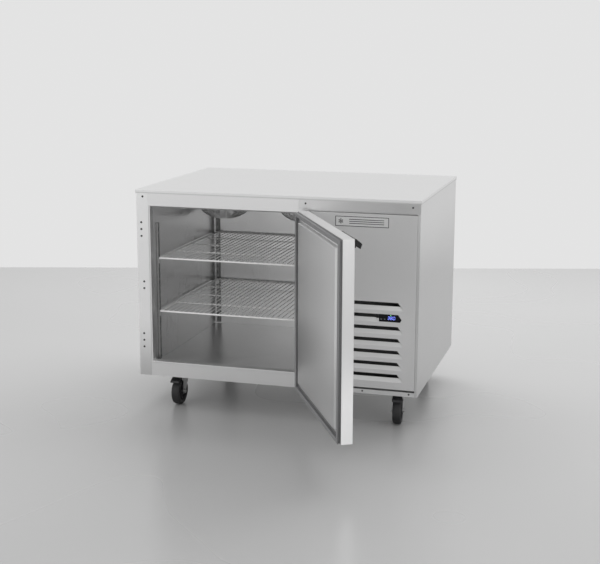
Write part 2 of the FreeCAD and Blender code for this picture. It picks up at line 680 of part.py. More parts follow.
def hole_plugs():
    """Domed plugs in the spare hinge and latch holes of the left stile."""
    made = []
    for x, z in PLUG_PLACES:
        shank = rod((x, -0.1, z), (x, 5.0, z), PLUG_RADIUS)
        head = rod((x, -1.1, z), (x, -0.1, z), PLUG_RADIUS + 0.7)
        made.append(fuse([shank, head]))
    return group(made)


BLADE_DROP = 29.0
BLADE_LIP = 14.5
BLADE_REACH = 8.0
BLADE_SPREAD = 9.0
SLOT_SLANT = 11.0
CONTROLLER_ROW = 1
PANEL_FACE = -0.2
PANEL_DEPTH = 12.0
PANEL_NOTCH = (17.5, 4.5)


def scoop(x, z_lip, z_foot, reach, spread):
    """A louvre's wedge: it meets the panel's face along z_foot and runs in by reach at z_lip."""
    ends = []
    for at, sign in ((x[0], -1), (x[1], 1)):
        ends.append([FreeCAD.Vector(at + sign * spread, PANEL_FACE, z_foot),
                     FreeCAD.Vector(at, PANEL_FACE + reach, z_lip),
                     FreeCAD.Vector(at, PANEL_FACE, z_lip)])
    near, far = ends
    faces = [Part.Face(Part.makePolygon(end + end[:1])) for end in ends]
    for n in range(3):
        m = (n + 1) % 3
        faces.append(Part.Face(Part.makePolygon([near[n], near[m], far[m], far[n], near[n]])))
    return Part.makeSolid(Part.makeShell(faces))


def moved(shape, x=0.0, y=0.0, z=0.0):
    shape.translate(FreeCAD.Vector(x, y, z))
    return shape


def louvre_panel():
    """Removable front cover: a shallow pan with seven louvres pressed inwards below their slots."""
    pan = box(PANEL_X, (PANEL_FACE, PANEL_DEPTH), PANEL_Z)
    rim = [e for e in pan.Edges if max(v.Point.y for v in e.Vertexes) < 0]
    pan = pan.makeFillet(1.5, rim)
    t = PANEL_SHEET
    pan = pan.cut(box((PANEL_X[0] + t, PANEL_X[1] - t), (PANEL_FACE + t, PANEL_DEPTH + 1),
                      (PANEL_Z[0] + t, PANEL_Z[1] - t)))
    tilt = math.atan2(BLADE_REACH, BLADE_DROP - BLADE_LIP)
    outer_reach = BLADE_REACH + t / math.cos(tilt)
    outer_drop = t / math.sin(tilt)
    shells = []
    openings = []
    for row in range(LOUVRE_COUNT):
        top = LOUVRE_TOP - row * LOUVRE_PITCH
        lip = top - BLADE_LIP
        foot = top - BLADE_DROP
        left, right = LOUVRE_X
        slot_end = [right, right - SLOT_SLANT]
        if row == CONTROLLER_ROW:
            right = CONTROLLER_X[0] - BLADE_SPREAD - 2.5
            slot_end = [CONTROLLER_X[0] - LENS_GAP] * 2
        shells.append(scoop((left - t, right + t), lip, foot - outer_drop, outer_reach, BLADE_SPREAD))
        openings.append(scoop((left, right), lip, foot, BLADE_REACH, BLADE_SPREAD))
        openings.append(prism([(left, -1, lip - 0.01), (slot_end[0], -1, lip - 0.01),
                               (slot_end[1], -1, top), (left + SLOT_SLANT, -1, top)], (0, 3, 0)))
    window = prism(lens_outline(LENS_GAP, -2.0), (0, 5, 0))
    notch = box((PANEL_X[0] - 1, PANEL_X[0] + PANEL_NOTCH[0]), (-1, PANEL_DEPTH + 1),
                (PANEL_Z[1] - PANEL_NOTCH[1], PANEL_Z[1] + 1))
    return cut_all(pan.multiFuse(shells), openings + [window, notch]).removeSplitter()


BADGE_X = (752.0, 943.0)
BADGE_Z = (599.5, 635.5)


def badge_plate():
    """Blank name plate with a raised border."""
    plate = box(BADGE_X, (-1.4, -0.3), BADGE_Z)
    wide = 1.5
    field = box((BADGE_X[0] + wide, BADGE_X[1] - wide), (-3, 0), (BADGE_Z[0] + wide, BADGE_Z[1] - wide))
    return fuse([plate, moved(plate.cut(field), y=-0.5)])


CONTROLLER_X = (913.0, 993.0)
CONTROLLER_Z = (267.6, 294.0)
BUTTON_X = {"button_set": 921.0, "button_down": 933.0}
BUTTON_SIZE = (8.0, 5.0)
BUTTON_GAP = 0.3
LENS_GAP = 0.3
LENS_Y = (-2.2, 1.0)


def button_box(x, grown, y):
    z = (CONTROLLER_Z[0] + CONTROLLER_Z[1]) / 2.0 - 4.0
    wide = BUTTON_SIZE[0] / 2.0 + grown
    tall = BUTTON_SIZE[1] / 2.0 + grown
    return box((x - wide, x + wide), y, (z - tall, z + tall))


def lens_outline(grown, y):
    """The window's outline: its right end is cut to follow the slant of the louvre slots."""
    left = CONTROLLER_X[0] - grown
    right = CONTROLLER_X[1] + grown
    low = CONTROLLER_Z[0] - grown
    high = CONTROLLER_Z[1] + grown
    return [(left, y, low), (right - 5.0, y, low), (right, y, low + 9.5),
            (right - SLOT_SLANT - 1.5, y, high), (left, y, high)]


def controller_lens():
    """Black window with holes for the two buttons."""
    lens = prism(lens_outline(0.0, LENS_Y[0]), (0, LENS_Y[1] - LENS_Y[0], 0))
    rim = [e for e in lens.Edges if max(v.Point.y for v in e.Vertexes) < -2]
    lens = lens.makeFillet(1.0, rim)
    return cut_all(lens, [button_box(x, BUTTON_GAP, (-4, 2)) for x in BUTTON_X.values()])


def controller_housing():
    body = box((CONTROLLER_X[0] + 2, CONTROLLER_X[1] - 14), (LENS_Y[1] + 0.2, 48.0),
               (CONTROLLER_Z[0] + 1, CONTROLLER_Z[1] - 1))
    wells = [button_box(x, BUTTON_GAP, (0, 6)) for x in BUTTON_X.values()]
    return cut_all(body, wells)


def controller_button(x):
    """A key whose stem runs back into the housing."""
    cap = button_box(x, 0.0, (-3.2, 3.8))
    rim = [e for e in cap.Edges if max(v.Point.y for v in e.Vertexes) < -3]
    return cap.makeFillet(0.5, rim)


# ---- condensing unit ----
UNIT_FLOOR = SHEET + 0.3
UNIT_X = (662.0, 1036.0)
UNIT_Y = (24.0, 735.0)
COMPRESSOR_AT = (850.0, 545.0)
COMPRESSOR_RADIUS = 78.0
CONDENSER_X = (690.0, 1010.0)
CONDENSER_Y = (70.0, 120.0)
CONDENSER_Z = (14.0, 350.0)
BLOWER_X = 850.0
BLOWER_Z = 182.0


def pipe_wall_places():
    """Where the suction and liquid lines pass through the cavity's right wall."""
    return [(643.0, 560.0, coil_level(1)), (643.0, 530.0, coil_level(1))]


def unit_base():
    """Tray under the condensing unit, with a raised well at the back for condensate."""
    floor = UNIT_FLOOR + 1.5
    tray = box(UNIT_X, UNIT_Y, (UNIT_FLOOR, UNIT_FLOOR + 12))
    inner = box((UNIT_X[0] + 1.5, UNIT_X[1] - 1.5), (UNIT_Y[0] + 1.5, UNIT_Y[1] - 1.5),
                (floor, UNIT_FLOOR + 13))
    well = box((700, 1000), (650, 728), (floor - 0.1, floor + 32))
    water = box((702, 998), (652, 726), (floor, floor + 33))
    return fuse([tray.cut(inner), well]).cut(water)


def compressor_feet():
    return [(COMPRESSOR_AT[0] + sx * 88.0, COMPRESSOR_AT[1] + sy * 62.0) for sx in (-1, 1) for sy in (-1, 1)]


def compressor():
    """Hermetic shell in two pressed halves on a foot plate, with a terminal box."""
    x, y = COMPRESSOR_AT
    plate_z = UNIT_FLOOR + 16.0
    plate = box((x - 102, x + 102), (y - 76, y + 76), (plate_z, plate_z + 4))
    shell_z = plate_z + 3.0
    body = Part.makeCylinder(COMPRESSOR_RADIUS, 165.0, FreeCAD.Vector(x, y, shell_z))
    top_edge = [e for e in body.Edges if min(v.Point.z for v in e.Vertexes) > shell_z + 160]
    body = body.makeFillet(34.0, top_edge)
    seam = Part.makeCylinder(COMPRESSOR_RADIUS + 4, 6.0, FreeCAD.Vector(x, y, shell_z + 92))
    terminal = box((x + 60, x + 100), (y - 28, y + 28), (shell_z + 30, shell_z + 86))
    shape = fuse([plate, body, seam, terminal])
    holes = [rod((fx, fy, plate_z - 1), (fx, fy, plate_z + 6), 8.0) for fx, fy in compressor_feet()]
    return cut_all(shape, holes)


def compressor_mounts():
    """Rubber grommets in the foot plate, each on its own stud."""
    base = UNIT_FLOOR + 1.7
    plate = UNIT_FLOOR + 16.0
    made = []
    for x, y in compressor_feet():
        lower = rod((x, y, base), (x, y, plate - 0.2), 12.0)
        neck = rod((x, y, plate - 0.3), (x, y, plate + 4.3), 7.7)
        cap = rod((x, y, plate + 4.2), (x, y, plate + 9), 11.0)
        made.append(fuse([lower, neck, cap]))
    return group(made)


def condenser_coil():
    """Finned block with end plates and return bends."""
    x0, x1 = CONDENSER_X
    core = [box(CONDENSER_X, CONDENSER_Y, CONDENSER_Z)]
    plate_y = (CONDENSER_Y[0] - 4, CONDENSER_Y[1] + 4)
    plate_z = (CONDENSER_Z[0], CONDENSER_Z[1] + 4)
    core += [box((x, x + 1.5), plate_y, plate_z) for x in (x0 - 1.5, x1)]
    for side, sign in ((x0, -1), (x1, 1)):
        for n in range(6):
            level = CONDENSER_Z[0] + 30 + n * 52
            ends = [(side - sign, y, level) for y in (CONDENSER_Y[0] + 12, CONDENSER_Y[1] - 12)]
            tips = [(side + sign * 16, y, level) for y in (CONDENSER_Y[0] + 12, CONDENSER_Y[1] - 12)]
            core.append(tube([ends[0], tips[0], tips[1], ends[1]], 4.8, 9.0))
    return fuse(core)


def fan_shroud():
    """Plate behind the condenser with a ring round the fan."""
    y = (CONDENSER_Y[1] + 14, CONDENSER_Y[1] + 15.5)
    plate = box((CONDENSER_X[0] - 8, CONDENSER_X[1] + 8), y, (UNIT_FLOOR + 1.8, CONDENSER_Z[1]))
    rim = ring((BLOWER_X, y[0], BLOWER_Z), (BLOWER_X, y[0] + 44, BLOWER_Z), 138.0, 136.0)
    opening = rod((BLOWER_X, y[0] - 1, BLOWER_Z), (BLOWER_X, y[0] + 3, BLOWER_Z), 136.0)
    return fuse([plate.cut(opening), rim])


def condenser_fan():
    fan = fan_blade_set(128.0, 24.0, 30.0, 5, 4.0 + RUNNING_GAP, 26.0)
    fan.rotate(FreeCAD.Vector(0, 0, 0), X_AXIS, -90)
    return moved(fan, BLOWER_X, CONDENSER_Y[1] + 18, BLOWER_Z)


def condenser_fan_motor():
    """Motor on a wire-strap stand behind the blades; its shaft carries the fan."""
    back = CONDENSER_Y[1] + 56
    can = rod((BLOWER_X, back, BLOWER_Z), (BLOWER_X, back + 58, BLOWER_Z), 44.0)
    shaft = rod((BLOWER_X, CONDENSER_Y[1] + 18, BLOWER_Z), (BLOWER_X, back + 2, BLOWER_Z), 4.0)
    post = box((BLOWER_X - 14, BLOWER_X + 14), (back + 22, back + 36), (UNIT_FLOOR + 1.8, BLOWER_Z))
    foot = box((BLOWER_X - 50, BLOWER_X + 50), (back + 6, back + 52), (UNIT_FLOOR + 1.8, UNIT_FLOOR + 5))
    return fuse([can, shaft, post, foot])


def refrigerant_lines():
    """Discharge, liquid and suction lines, with the filter drier in the liquid line."""
    cx, cy = COMPRESSOR_AT
    pass_y = CONDENSER_Y[1] + 80
    beside = CONDENSER_X[0] - 20
    discharge = tube([(cx - COMPRESSOR_RADIUS - 0.5, cy - 20, 70), (cx - 130, cy - 20, 70),
                      (cx - 130, pass_y, 70), (beside, pass_y, 330),
                      (beside, CONDENSER_Y[1] + 5, 330)], 3.2, 14.0)
    drier = rod((1026, 300, 70), (1026, 420, 70), 9.0)
    liquid = tube([(1026, CONDENSER_Y[1] + 5, 40), (1026, 260, 40), (1026, 290, 70), (1026, 305, 70)],
                  3.2, 12.0)
    (wall_x, suction_y, level), (wall_x, liquid_y, level) = pipe_wall_places()
    near, far = COIL_TUBE_Y
    coil_end = COIL_X[1] + 0.1
    capillary = tube([(1026, 415, 70), (1026, 460, 70), (1026, 460, 440), (700, liquid_y, 440),
                      (680, liquid_y, level), (578, liquid_y, level), (578, near, level),
                      (coil_end, near, level)], 3.0, 14.0)
    suction = tube([(cx, cy + COMPRESSOR_RADIUS + 0.5, 90), (cx, cy + 130, 90), (cx, cy + 130, level),
                    (cx - 150, suction_y, level), (595, suction_y, level), (595, far, level),
                    (coil_end, far, level)], 5.0, 16.0)
    return group([discharge, fuse([liquid, drier, capillary]), suction])


def cable_gland():
    """Where the supply lead enters; the lead itself is not part of the model."""
    x, z = 700.0, 60.0
    outer = rod((x, DEPTH + 0.1, z), (x, DEPTH + GLAND_REACH, z), 12.0)
    edge = [e for e in outer.Edges if min(v.Point.y for v in e.Vertexes) > DEPTH + GLAND_REACH - 0.1]
    outer = outer.makeFillet(2.0, edge)
    stem = rod((x, DEPTH - 14, z), (x, DEPTH + 0.2, z), 8.0)
    nut = rod((x, DEPTH - 8, z), (x, DEPTH - SHEET - 0.1, z), 12.5)
    bore = rod((x, DEPTH - 15, z), (x, DEPTH + GLAND_REACH + 1, z), 4.5)
    return fuse([outer, stem, nut]).cut(bore)


# ---- casters ----
PLATE_THICKNESS = 4.0
BOLT_RADIUS = 3.0
BOLT_SPACING = (46.0, 70.0)
FORK_TOP = -9.3
FORK_BOTTOM = -19.0
AXLE_Z = WHEEL_RADIUS - FLOOR_GAP
CASTERS = {
    "front_left": (CASTER_X[0], CASTER_FRONT_Y, 0.0),
    "front_right": (CASTER_X[1], CASTER_FRONT_Y, 6.0),
    "back_left": (CASTER_X[0], CASTER_BACK_Y, 180.0),
    "back_right": (CASTER_X[1], CASTER_BACK_Y, 200.0),
}
BRAKED = ("front_left", "front_right")


def caster_bolt_places():
    return [(x + sx * BOLT_SPACING[0] / 2, y + sy * BOLT_SPACING[1] / 2)
            for x, y, heading in CASTERS.values() for sx in (-1, 1) for sy in (-1, 1)]


def caster_plates():
    """Four top plates, each with its fixed race and kingpin."""
    made = []
    for x, y, heading in CASTERS.values():
        plate = box((x - 33, x + 33), (y - 46, y + 46), (-PLATE_THICKNESS - 0.1, -0.1))
        race = rod((x, y, -9.0), (x, y, -PLATE_THICKNESS), 21.0)
        pin = rod((x, y, FORK_BOTTOM - 3), (x, y, -8.0), KINGPIN_RADIUS)
        nut = rod((x, y, FORK_BOTTOM - 3), (x, y, FORK_BOTTOM - 0.4), 9.0)
        shape = fuse([plate, race, pin, nut])
        holes = [rod((bx, by, -6), (bx, by, 1), BOLT_RADIUS + 0.15)
                 for bx, by in caster_bolt_places() if abs(bx - x) < 40 and abs(by - y) < 50]
        made.append(cut_all(shape, holes))
    return group(made)


def caster_bolts():
    made = []
    for x, y in caster_bolt_places():
        head = Part.Face(polygon([(x + 5.5 * math.cos(math.radians(a)), y + 5.5 * math.sin(math.radians(a)),
                                   -PLATE_THICKNESS - 0.2) for a in range(0, 360, 60)]))
        head = head.extrude(FreeCAD.Vector(0, 0, -4))
        shank = rod((x, y, -PLATE_THICKNESS - 0.3), (x, y, SHEET - 0.2), BOLT_RADIUS)
        made.append(fuse([head, shank]))
    return group(made)


def fork(braked):
    """Fork and axle at the swivel axis, with the wheel's axle ahead of it towards -Y."""
    crown = rod((0, 0, FORK_BOTTOM), (0, 0, FORK_TOP), 25.0)
    half = WHEEL_WIDTH / 2.0 + 2.0
    thick = 3.0
    top = FORK_BOTTOM + 3
    bridge = box((-half - thick, half + thick), (-34, 18), (FORK_BOTTOM, top))
    legs = []
    for side in (-half - thick, half):
        ear = [(side, PEDAL_PIVOT[0] - 7, top), (side, PEDAL_PIVOT[0] - 7, PEDAL_PIVOT[1] - 5)]
        outline = [(side, 18, top)] + (ear if braked else [(side, -36, top)])
        outline += [(side, -TRAIL - 6, AXLE_Z + 36), (side, -TRAIL - 11, AXLE_Z),
                    (side, -TRAIL - 7, AXLE_Z - 8), (side, -TRAIL + 7, AXLE_Z - 8),
                    (side, -TRAIL + 11, AXLE_Z)]
        legs.append(prism(outline, (thick, 0, 0)))
    yoke = fuse([crown, bridge] + legs)
    bores = [rod((0, 0, FORK_BOTTOM - 1), (0, 0, FORK_TOP + 1), KINGPIN_RADIUS + RUNNING_GAP),
             rod((-half - 5, -TRAIL, AXLE_Z), (half + 5, -TRAIL, AXLE_Z), AXLE_RADIUS + 0.1)]
    axle = rod((-half - 4.5, -TRAIL, AXLE_Z), (half + 4.5, -TRAIL, AXLE_Z), AXLE_RADIUS)
    heads = [rod((s * (half + 3.2), -TRAIL, AXLE_Z), (s * (half + 7), -TRAIL, AXLE_Z), 7.0) for s in (-1, 1)]
    yoke = cut_all(yoke, bores)
    if braked:
        y, z = PEDAL_PIVOT
        yoke = yoke.fuse(rod((-half - 1, y, z), (half + 1, y, z), PEDAL_PIN)).removeSplitter()
    return group([yoke, fuse([axle] + heads)])


def wheel():
    """Moulded wheel with a crowned tread, recessed faces and a hub."""
    half = WHEEL_WIDTH / 2.0
    body = rod((-half, -TRAIL, AXLE_Z), (half, -TRAIL, AXLE_Z), WHEEL_RADIUS)
    body = body.makeFillet(5.0, [e for e in body.Edges if e.Closed])
    for s in (-1, 1):
        dish = rod((s * (half - 6), -TRAIL, AXLE_Z), (s * (half + 1), -TRAIL, AXLE_Z), 37.0)
        hub = rod((s * (half - 7), -TRAIL, AXLE_Z), (s * (half + 2), -TRAIL, AXLE_Z), 13.0)
        body = body.cut(dish.cut(hub))
    return body.cut(rod((-half - 2, -TRAIL, AXLE_Z), (half + 2, -TRAIL, AXLE_Z), AXLE_RADIUS + RUNNING_GAP))


PEDAL_PIVOT = (-45.0, -22.0)
PEDAL_PIN = 2.0


def brake_pedal():
    """Foot pedal over the front of the wheel, turning on a pin between the fork's ears."""
    y, z = PEDAL_PIVOT
    wide = WHEEL_WIDTH / 2.0 + 1.0
    upper = [(1, 3.6), (-14, 3.6), (-34, -4), (-37, -11)]
    lower = [(-34, -11), (-31, -6.5), (-14, 0.6), (1, 0)]
    arm = prism([(-wide, y + ahead, z + rise) for ahead, rise in upper + lower], (2 * wide, 0, 0))
    barrel = rod((-wide, y, z), (wide, y, z), 3.6)
    bore = rod((-wide - 1, y, z), (wide + 1, y, z), PEDAL_PIN + RUNNING_GAP)
    return fuse([arm, barrel]).cut(bore)


def at_caster(shape, name):
    x, y, heading = CASTERS[name]
    shape.rotate(FreeCAD.Vector(0, 0, 0), Z_AXIS, heading)
    return moved(shape, x, y)


def place(shape):
    """Moves a shape from the design frame to the row frame."""
    return moved(shape, -ORIGIN_X, -ORIGIN_Y, FLOOR_GAP)


CABINET_NODES = (worktop, side_panel_left, side_panel_right, back_panel, bottom_panel, door_header,
                 partition_panel, breaker_strip, liner_shell, insulation_foam, shelf_pilasters,
                 shelf_clips, evaporator_cover, evaporator_coil, evaporator_fan_motors,
                 evaporator_fan_guards, drain_tube, hinge_brackets, hinge_pins,
                 fascia_strip, face_screws, hole_plugs, louvre_panel, badge_plate,
                 controller_lens, controller_housing, unit_base, compressor, compressor_mounts,
                 condenser_coil, fan_shroud, condenser_fan, condenser_fan_motor, refrigerant_lines,
                 cable_gland, caster_plates, caster_bolts)
DOOR_NODES = (door_skin, door_foam, door_liner, door_gasket, door_handle, hinge_leaves, leaf_screws)


def build():
    nodes = {make.__name__: make() for make in CABINET_NODES}
    for make in DOOR_NODES:
        leaf = make()
        leaf.rotate(FreeCAD.Vector(PIN_X, PIN_Y, 0), Z_AXIS, DOOR_OPEN_DEG)
        nodes[make.__name__] = leaf
    for side, x in zip(("left", "right"), FAN_X):
        nodes["evaporator_fan_" + side] = evaporator_fan(x)
    for name, height in SHELF_HEIGHTS.items():
        nodes[name] = shelf(height)
    for name, x in BUTTON_X.items():
        nodes[name] = controller_button(x)
    for name in CASTERS:
        nodes["fork_" + name] = at_caster(fork(name in BRAKED), name)
        nodes["wheel_" + name] = at_caster(wheel(), name)
    for name in BRAKED:
        nodes["brake_pedal_" + name] = at_caster(brake_pedal(), name)
    return {name: place(shape) for name, shape in nodes.items()}


def main():
    os.makedirs("parts", exist_ok=True)
    for name, shape in build().items():
        if not shape.isValid():
            print("not valid:", name)
        shape.exportStep("parts/" + name + ".step")


main()
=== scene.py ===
import json
import math
import random

import bmesh
import bpy
from mathutils import Matrix, Vector


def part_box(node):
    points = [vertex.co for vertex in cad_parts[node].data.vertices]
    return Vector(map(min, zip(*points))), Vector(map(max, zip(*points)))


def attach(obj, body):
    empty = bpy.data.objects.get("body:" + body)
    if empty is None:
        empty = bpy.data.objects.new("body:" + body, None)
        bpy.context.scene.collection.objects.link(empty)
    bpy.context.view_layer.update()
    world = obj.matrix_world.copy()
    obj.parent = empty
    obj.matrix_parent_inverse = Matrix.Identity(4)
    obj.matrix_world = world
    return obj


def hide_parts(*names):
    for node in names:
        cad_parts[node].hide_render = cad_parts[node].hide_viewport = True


# Looks of the undercounter refrigerator: materials for every CAD node, finer pieces for the gasket,
# screws, fins, fan guards and wheels, the printed and lit marks, and a plain studio. Metres, in the
# row frame: the front faces -Y.

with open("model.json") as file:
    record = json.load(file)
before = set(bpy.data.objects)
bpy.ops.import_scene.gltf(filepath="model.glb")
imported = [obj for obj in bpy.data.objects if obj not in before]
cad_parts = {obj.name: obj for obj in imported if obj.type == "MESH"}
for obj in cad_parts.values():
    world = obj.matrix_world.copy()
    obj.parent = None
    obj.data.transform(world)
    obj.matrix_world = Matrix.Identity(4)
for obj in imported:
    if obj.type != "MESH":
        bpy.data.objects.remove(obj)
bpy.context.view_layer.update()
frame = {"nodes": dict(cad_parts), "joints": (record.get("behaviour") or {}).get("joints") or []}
NODES = frame["nodes"]
MM = 0.001
UP = Vector((0, 0, 1))

# ---- places worked out from the frame ----
LENS_LOW, LENS_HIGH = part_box("controller_lens")
BADGE_LOW, BADGE_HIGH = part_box("badge_plate")
DOOR_HINGE = next(j for j in frame["joints"] if j["name"] == "door_hinge")
PIVOT = Vector(DOOR_HINGE["pos_m"])
DOOR_OPEN = math.radians(-DOOR_HINGE["range_deg"][0])


def closed_door(point):
    """A point of the open door, turned back to where it is with the door closed."""
    return Matrix.Rotation(-DOOR_OPEN, 3, "Z") @ (Vector(point) - PIVOT) + PIVOT


def opened(mesh_object):
    """Turns a piece made on the closed door to the door's open rest position."""
    turn = Matrix.Translation(PIVOT) @ Matrix.Rotation(DOOR_OPEN, 4, "Z") @ Matrix.Translation(-PIVOT)
    mesh_object.data.transform(turn)


def closed_box(node):
    """The box of one of the door's nodes with the door closed."""
    points = [closed_door(v.co) for v in NODES[node].data.vertices]
    low = Vector([min(p[i] for p in points) for i in range(3)])
    high = Vector([max(p[i] for p in points) for i in range(3)])
    return low, high


# ---- materials ----
class Shade:
    """A Principled material made up from layers of noise in the object's own coordinates."""

    def __init__(self, name, metallic=0.0, **sockets):
        self.material = bpy.data.materials.new(name)
        self.material.use_nodes = True
        self.tree = self.material.node_tree
        self.nodes = self.tree.nodes
        self.shader = self.nodes["Principled BSDF"]
        self.shader.inputs["Metallic"].default_value = metallic
        for socket, value in sockets.items():
            self.shader.inputs[socket.replace("_", " ")].default_value = value
        self.place = self.nodes.new("ShaderNodeTexCoord").outputs["Object"]
        self.normal = None

    def link(self, out, into):
        self.tree.links.new(out, into)

    def scaled(self, stretch):
        mapping = self.nodes.new("ShaderNodeMapping")
        mapping.inputs["Scale"].default_value = stretch
        self.link(self.place, mapping.inputs["Vector"])
        return mapping.outputs["Vector"]

    def noise(self, stretch, detail=3.0, rough=0.55, distortion=0.0):
        """Noise with one cell per 1/stretch metres along each axis."""
        node = self.nodes.new("ShaderNodeTexNoise")
        node.inputs["Scale"].default_value = 1.0
        node.inputs["Detail"].default_value = detail
        node.inputs["Roughness"].default_value = rough
        node.inputs["Distortion"].default_value = distortion
        self.link(self.scaled(stretch), node.inputs["Vector"])
        return node.outputs["Fac"]

    def cells(self, size, output="Distance"):
        """Rounded cells of about this size, in metres."""
        node = self.nodes.new("ShaderNodeTexVoronoi")
        node.inputs["Scale"].default_value = 1.0
        self.link(self.scaled((1 / size,) * 3), node.inputs["Vector"])
        return node.outputs[output]

    def spread(self, value, low, high, start=0.25, end=0.75):
        """Maps value from start..end to low..high."""
        node = self.nodes.new("ShaderNodeMapRange")
        for socket, number in (("From Min", start), ("From Max", end), ("To Min", low), ("To Max", high)):
            node.inputs[socket].default_value = number
        self.link(value, node.inputs["Value"])
        return node.outputs["Result"]

    def along(self, axis, start, end):
        """A smooth ramp from 0 to 1 between two places on one axis."""
        split = self.nodes.new("ShaderNodeSeparateXYZ")
        self.link(self.place, split.inputs[0])
        ramp = self.nodes.new("ShaderNodeMapRange")
        ramp.interpolation_type = "SMOOTHSTEP"
        ramp.inputs["From Min"].default_value = start
        ramp.inputs["From Max"].default_value = end
        self.link(split.outputs[axis.upper()], ramp.inputs["Value"])
        return ramp.outputs["Result"]

    def combine(self, operation, a, b):
        node = self.nodes.new("ShaderNodeMath")
        node.operation = operation
        for socket, value in zip(node.inputs, (a, b)):
            if isinstance(value, float):
                socket.default_value = value
            else:
                self.link(value, socket)
        return node.outputs[0]

    def mix(self, factor, a, b):
        """A colour between a and b, each a colour or another mix."""
        node = self.nodes.new("ShaderNodeMix")
        node.data_type = "RGBA"
        self.link(factor, node.inputs[0])
        for socket, value in ((node.inputs[6], a), (node.inputs[7], b)):
            if isinstance(value, tuple):
                socket.default_value = (*value, 1.0)
            else:
                self.link(value, socket)
        return node.outputs[2]

    def colour(self, value):
        self.link(value, self.shader.inputs["Base Color"])

    def rough(self, value):
        self.link(value, self.shader.inputs["Roughness"])

    def bump(self, height, distance, strength):
        """Adds a height layer, in metres, over those before it."""
        node = self.nodes.new("ShaderNodeBump")
        node.inputs["Strength"].default_value = strength
        node.inputs["Distance"].default_value = distance
        self.link(height, node.inputs["Height"])
        if self.normal is not None:
            self.link(self.normal, node.inputs["Normal"])
        self.normal = node.outputs["Normal"]
        self.link(self.normal, self.shader.inputs["Normal"])


def grey(value, warm=0.0):
    """A grey of this brightness; warm shifts it towards yellow."""
    return (value * (1 + warm), value, value * (1 - warm))


# Brushing marks per metre along and across the grain, and the brightest that sheet may be.
STREAKS_ALONG = 9.0
STREAKS_ACROSS = 1400.0
BRIGHTEST = 0.98


def brushed(name, tone, rough, grain, contrast=0.01, smudge=0.012, painted_shade=None, scratch=0.02):
    """Brushed sheet metal: fine streaks along the grain, with faint clouds from wiping.

    The last argument, (axis, start, end, share), is painted shade: the sheet loses that share of its
    brightness from start to end.
    """
    shade = Shade(name, metallic=1.0)
    stretch = tuple(STREAKS_ALONG if axis == grain else STREAKS_ACROSS for axis in "xyz")
    wide = tuple(STREAKS_ALONG / 3 if axis == grain else STREAKS_ACROSS / 7 for axis in "xyz")
    streaks = shade.noise(stretch, detail=2.0)
    bands = shade.noise(wide, detail=2.0)
    clouds = shade.noise((2.1, 1.7, 1.9), detail=3.0, distortion=0.3)
    layers = shade.combine("ADD", shade.combine("MULTIPLY", streaks, 0.85),
                           shade.combine("MULTIPLY", bands, 0.15))
    factor = shade.spread(layers, 0.0, 1.0, 0.3, 0.7)
    low = grey(tone * (1 - contrast))
    high = grey(min(tone * (1 + contrast), BRIGHTEST))
    steel = shade.mix(factor, low, high)
    # Painted shade: a ramp that darkens the sheet towards one end of one axis.
    if painted_shade:
        axis, start, end, share = painted_shade
        steel = shade.mix(shade.along(axis, start, end), steel, grey(tone * (1 - share)))
    shade.colour(steel)
    streak_rough = shade.spread(layers, rough - scratch, rough + scratch, 0.3, 0.7)
    shade.rough(shade.combine("ADD", streak_rough, shade.spread(clouds, -smudge, smudge, 0.3, 0.7)))
    shade.bump(layers, scratch * 1e-4, 0.5)
    return shade.material


def rolled(name, tone, rough, spangle=0.05, cell=0.009):
    """Zinc-coated sheet: faint crystal patches and cloudy wear."""
    shade = Shade(name, metallic=0.9)
    patches = shade.cells(cell, output="Color")
    clouds = shade.noise((9.0, 9.0, 9.0), detail=5.0, distortion=0.4)
    fine = shade.noise((500.0, 500.0, 500.0), detail=2.0)
    low = grey(tone * (1 - spangle))
    high = grey(tone * (1 + spangle))
    crystal = shade.mix(patches, low, high)
    shade.colour(shade.mix(shade.spread(clouds, 0.0, 0.35), crystal, grey(tone * 0.8)))
    shade.rough(shade.combine("ADD", shade.spread(clouds, rough - 0.06, rough + 0.06),
                              shade.spread(fine, -0.03, 0.03)))
    shade.bump(fine, 8e-6, 0.4)
    return shade.material


def moulded(name, colour, rough, grain_size=0.0009, depth=2.5e-5, dust=0.25, **sockets):
    """Moulded plastic or rubber: a fine spark-eroded grain and a film of dust."""
    shade = Shade(name, **sockets)
    pits = shade.cells(grain_size)
    fine = shade.noise((900.0, 900.0, 900.0), detail=2.0)
    clouds = shade.noise((17.0, 17.0, 17.0), detail=5.0, distortion=0.5)
    dusty = tuple(c * 0.75 + 0.045 for c in colour)
    base = shade.mix(shade.spread(fine, 0.0, 1.0), tuple(c * 0.88 for c in colour), colour)
    shade.colour(shade.mix(shade.spread(clouds, 0.0, dust, 0.4, 0.8), base, dusty))
    shade.rough(shade.combine("ADD", shade.spread(clouds, rough - 0.05, rough + 0.08),
                              shade.spread(fine, -0.02, 0.02)))
    shade.bump(pits, depth, 0.5)
    return shade.material


def plated(name, tone, rough, scale=60.0, metallic=1.0):
    """Plated or painted wire and pressings: small blotches and a slightly uneven skin."""
    shade = Shade(name, metallic=metallic)
    blotches = shade.noise((scale,) * 3, detail=4.0)
    skin = shade.noise((700.0,) * 3, detail=2.0)
    shade.colour(shade.mix(shade.spread(blotches, 0.0, 1.0), grey(tone * 0.86), grey(tone)))
    shade.rough(shade.spread(blotches, rough - 0.06, rough + 0.08))
    shade.bump(skin, 1.2e-5, 0.35)
    return shade.material


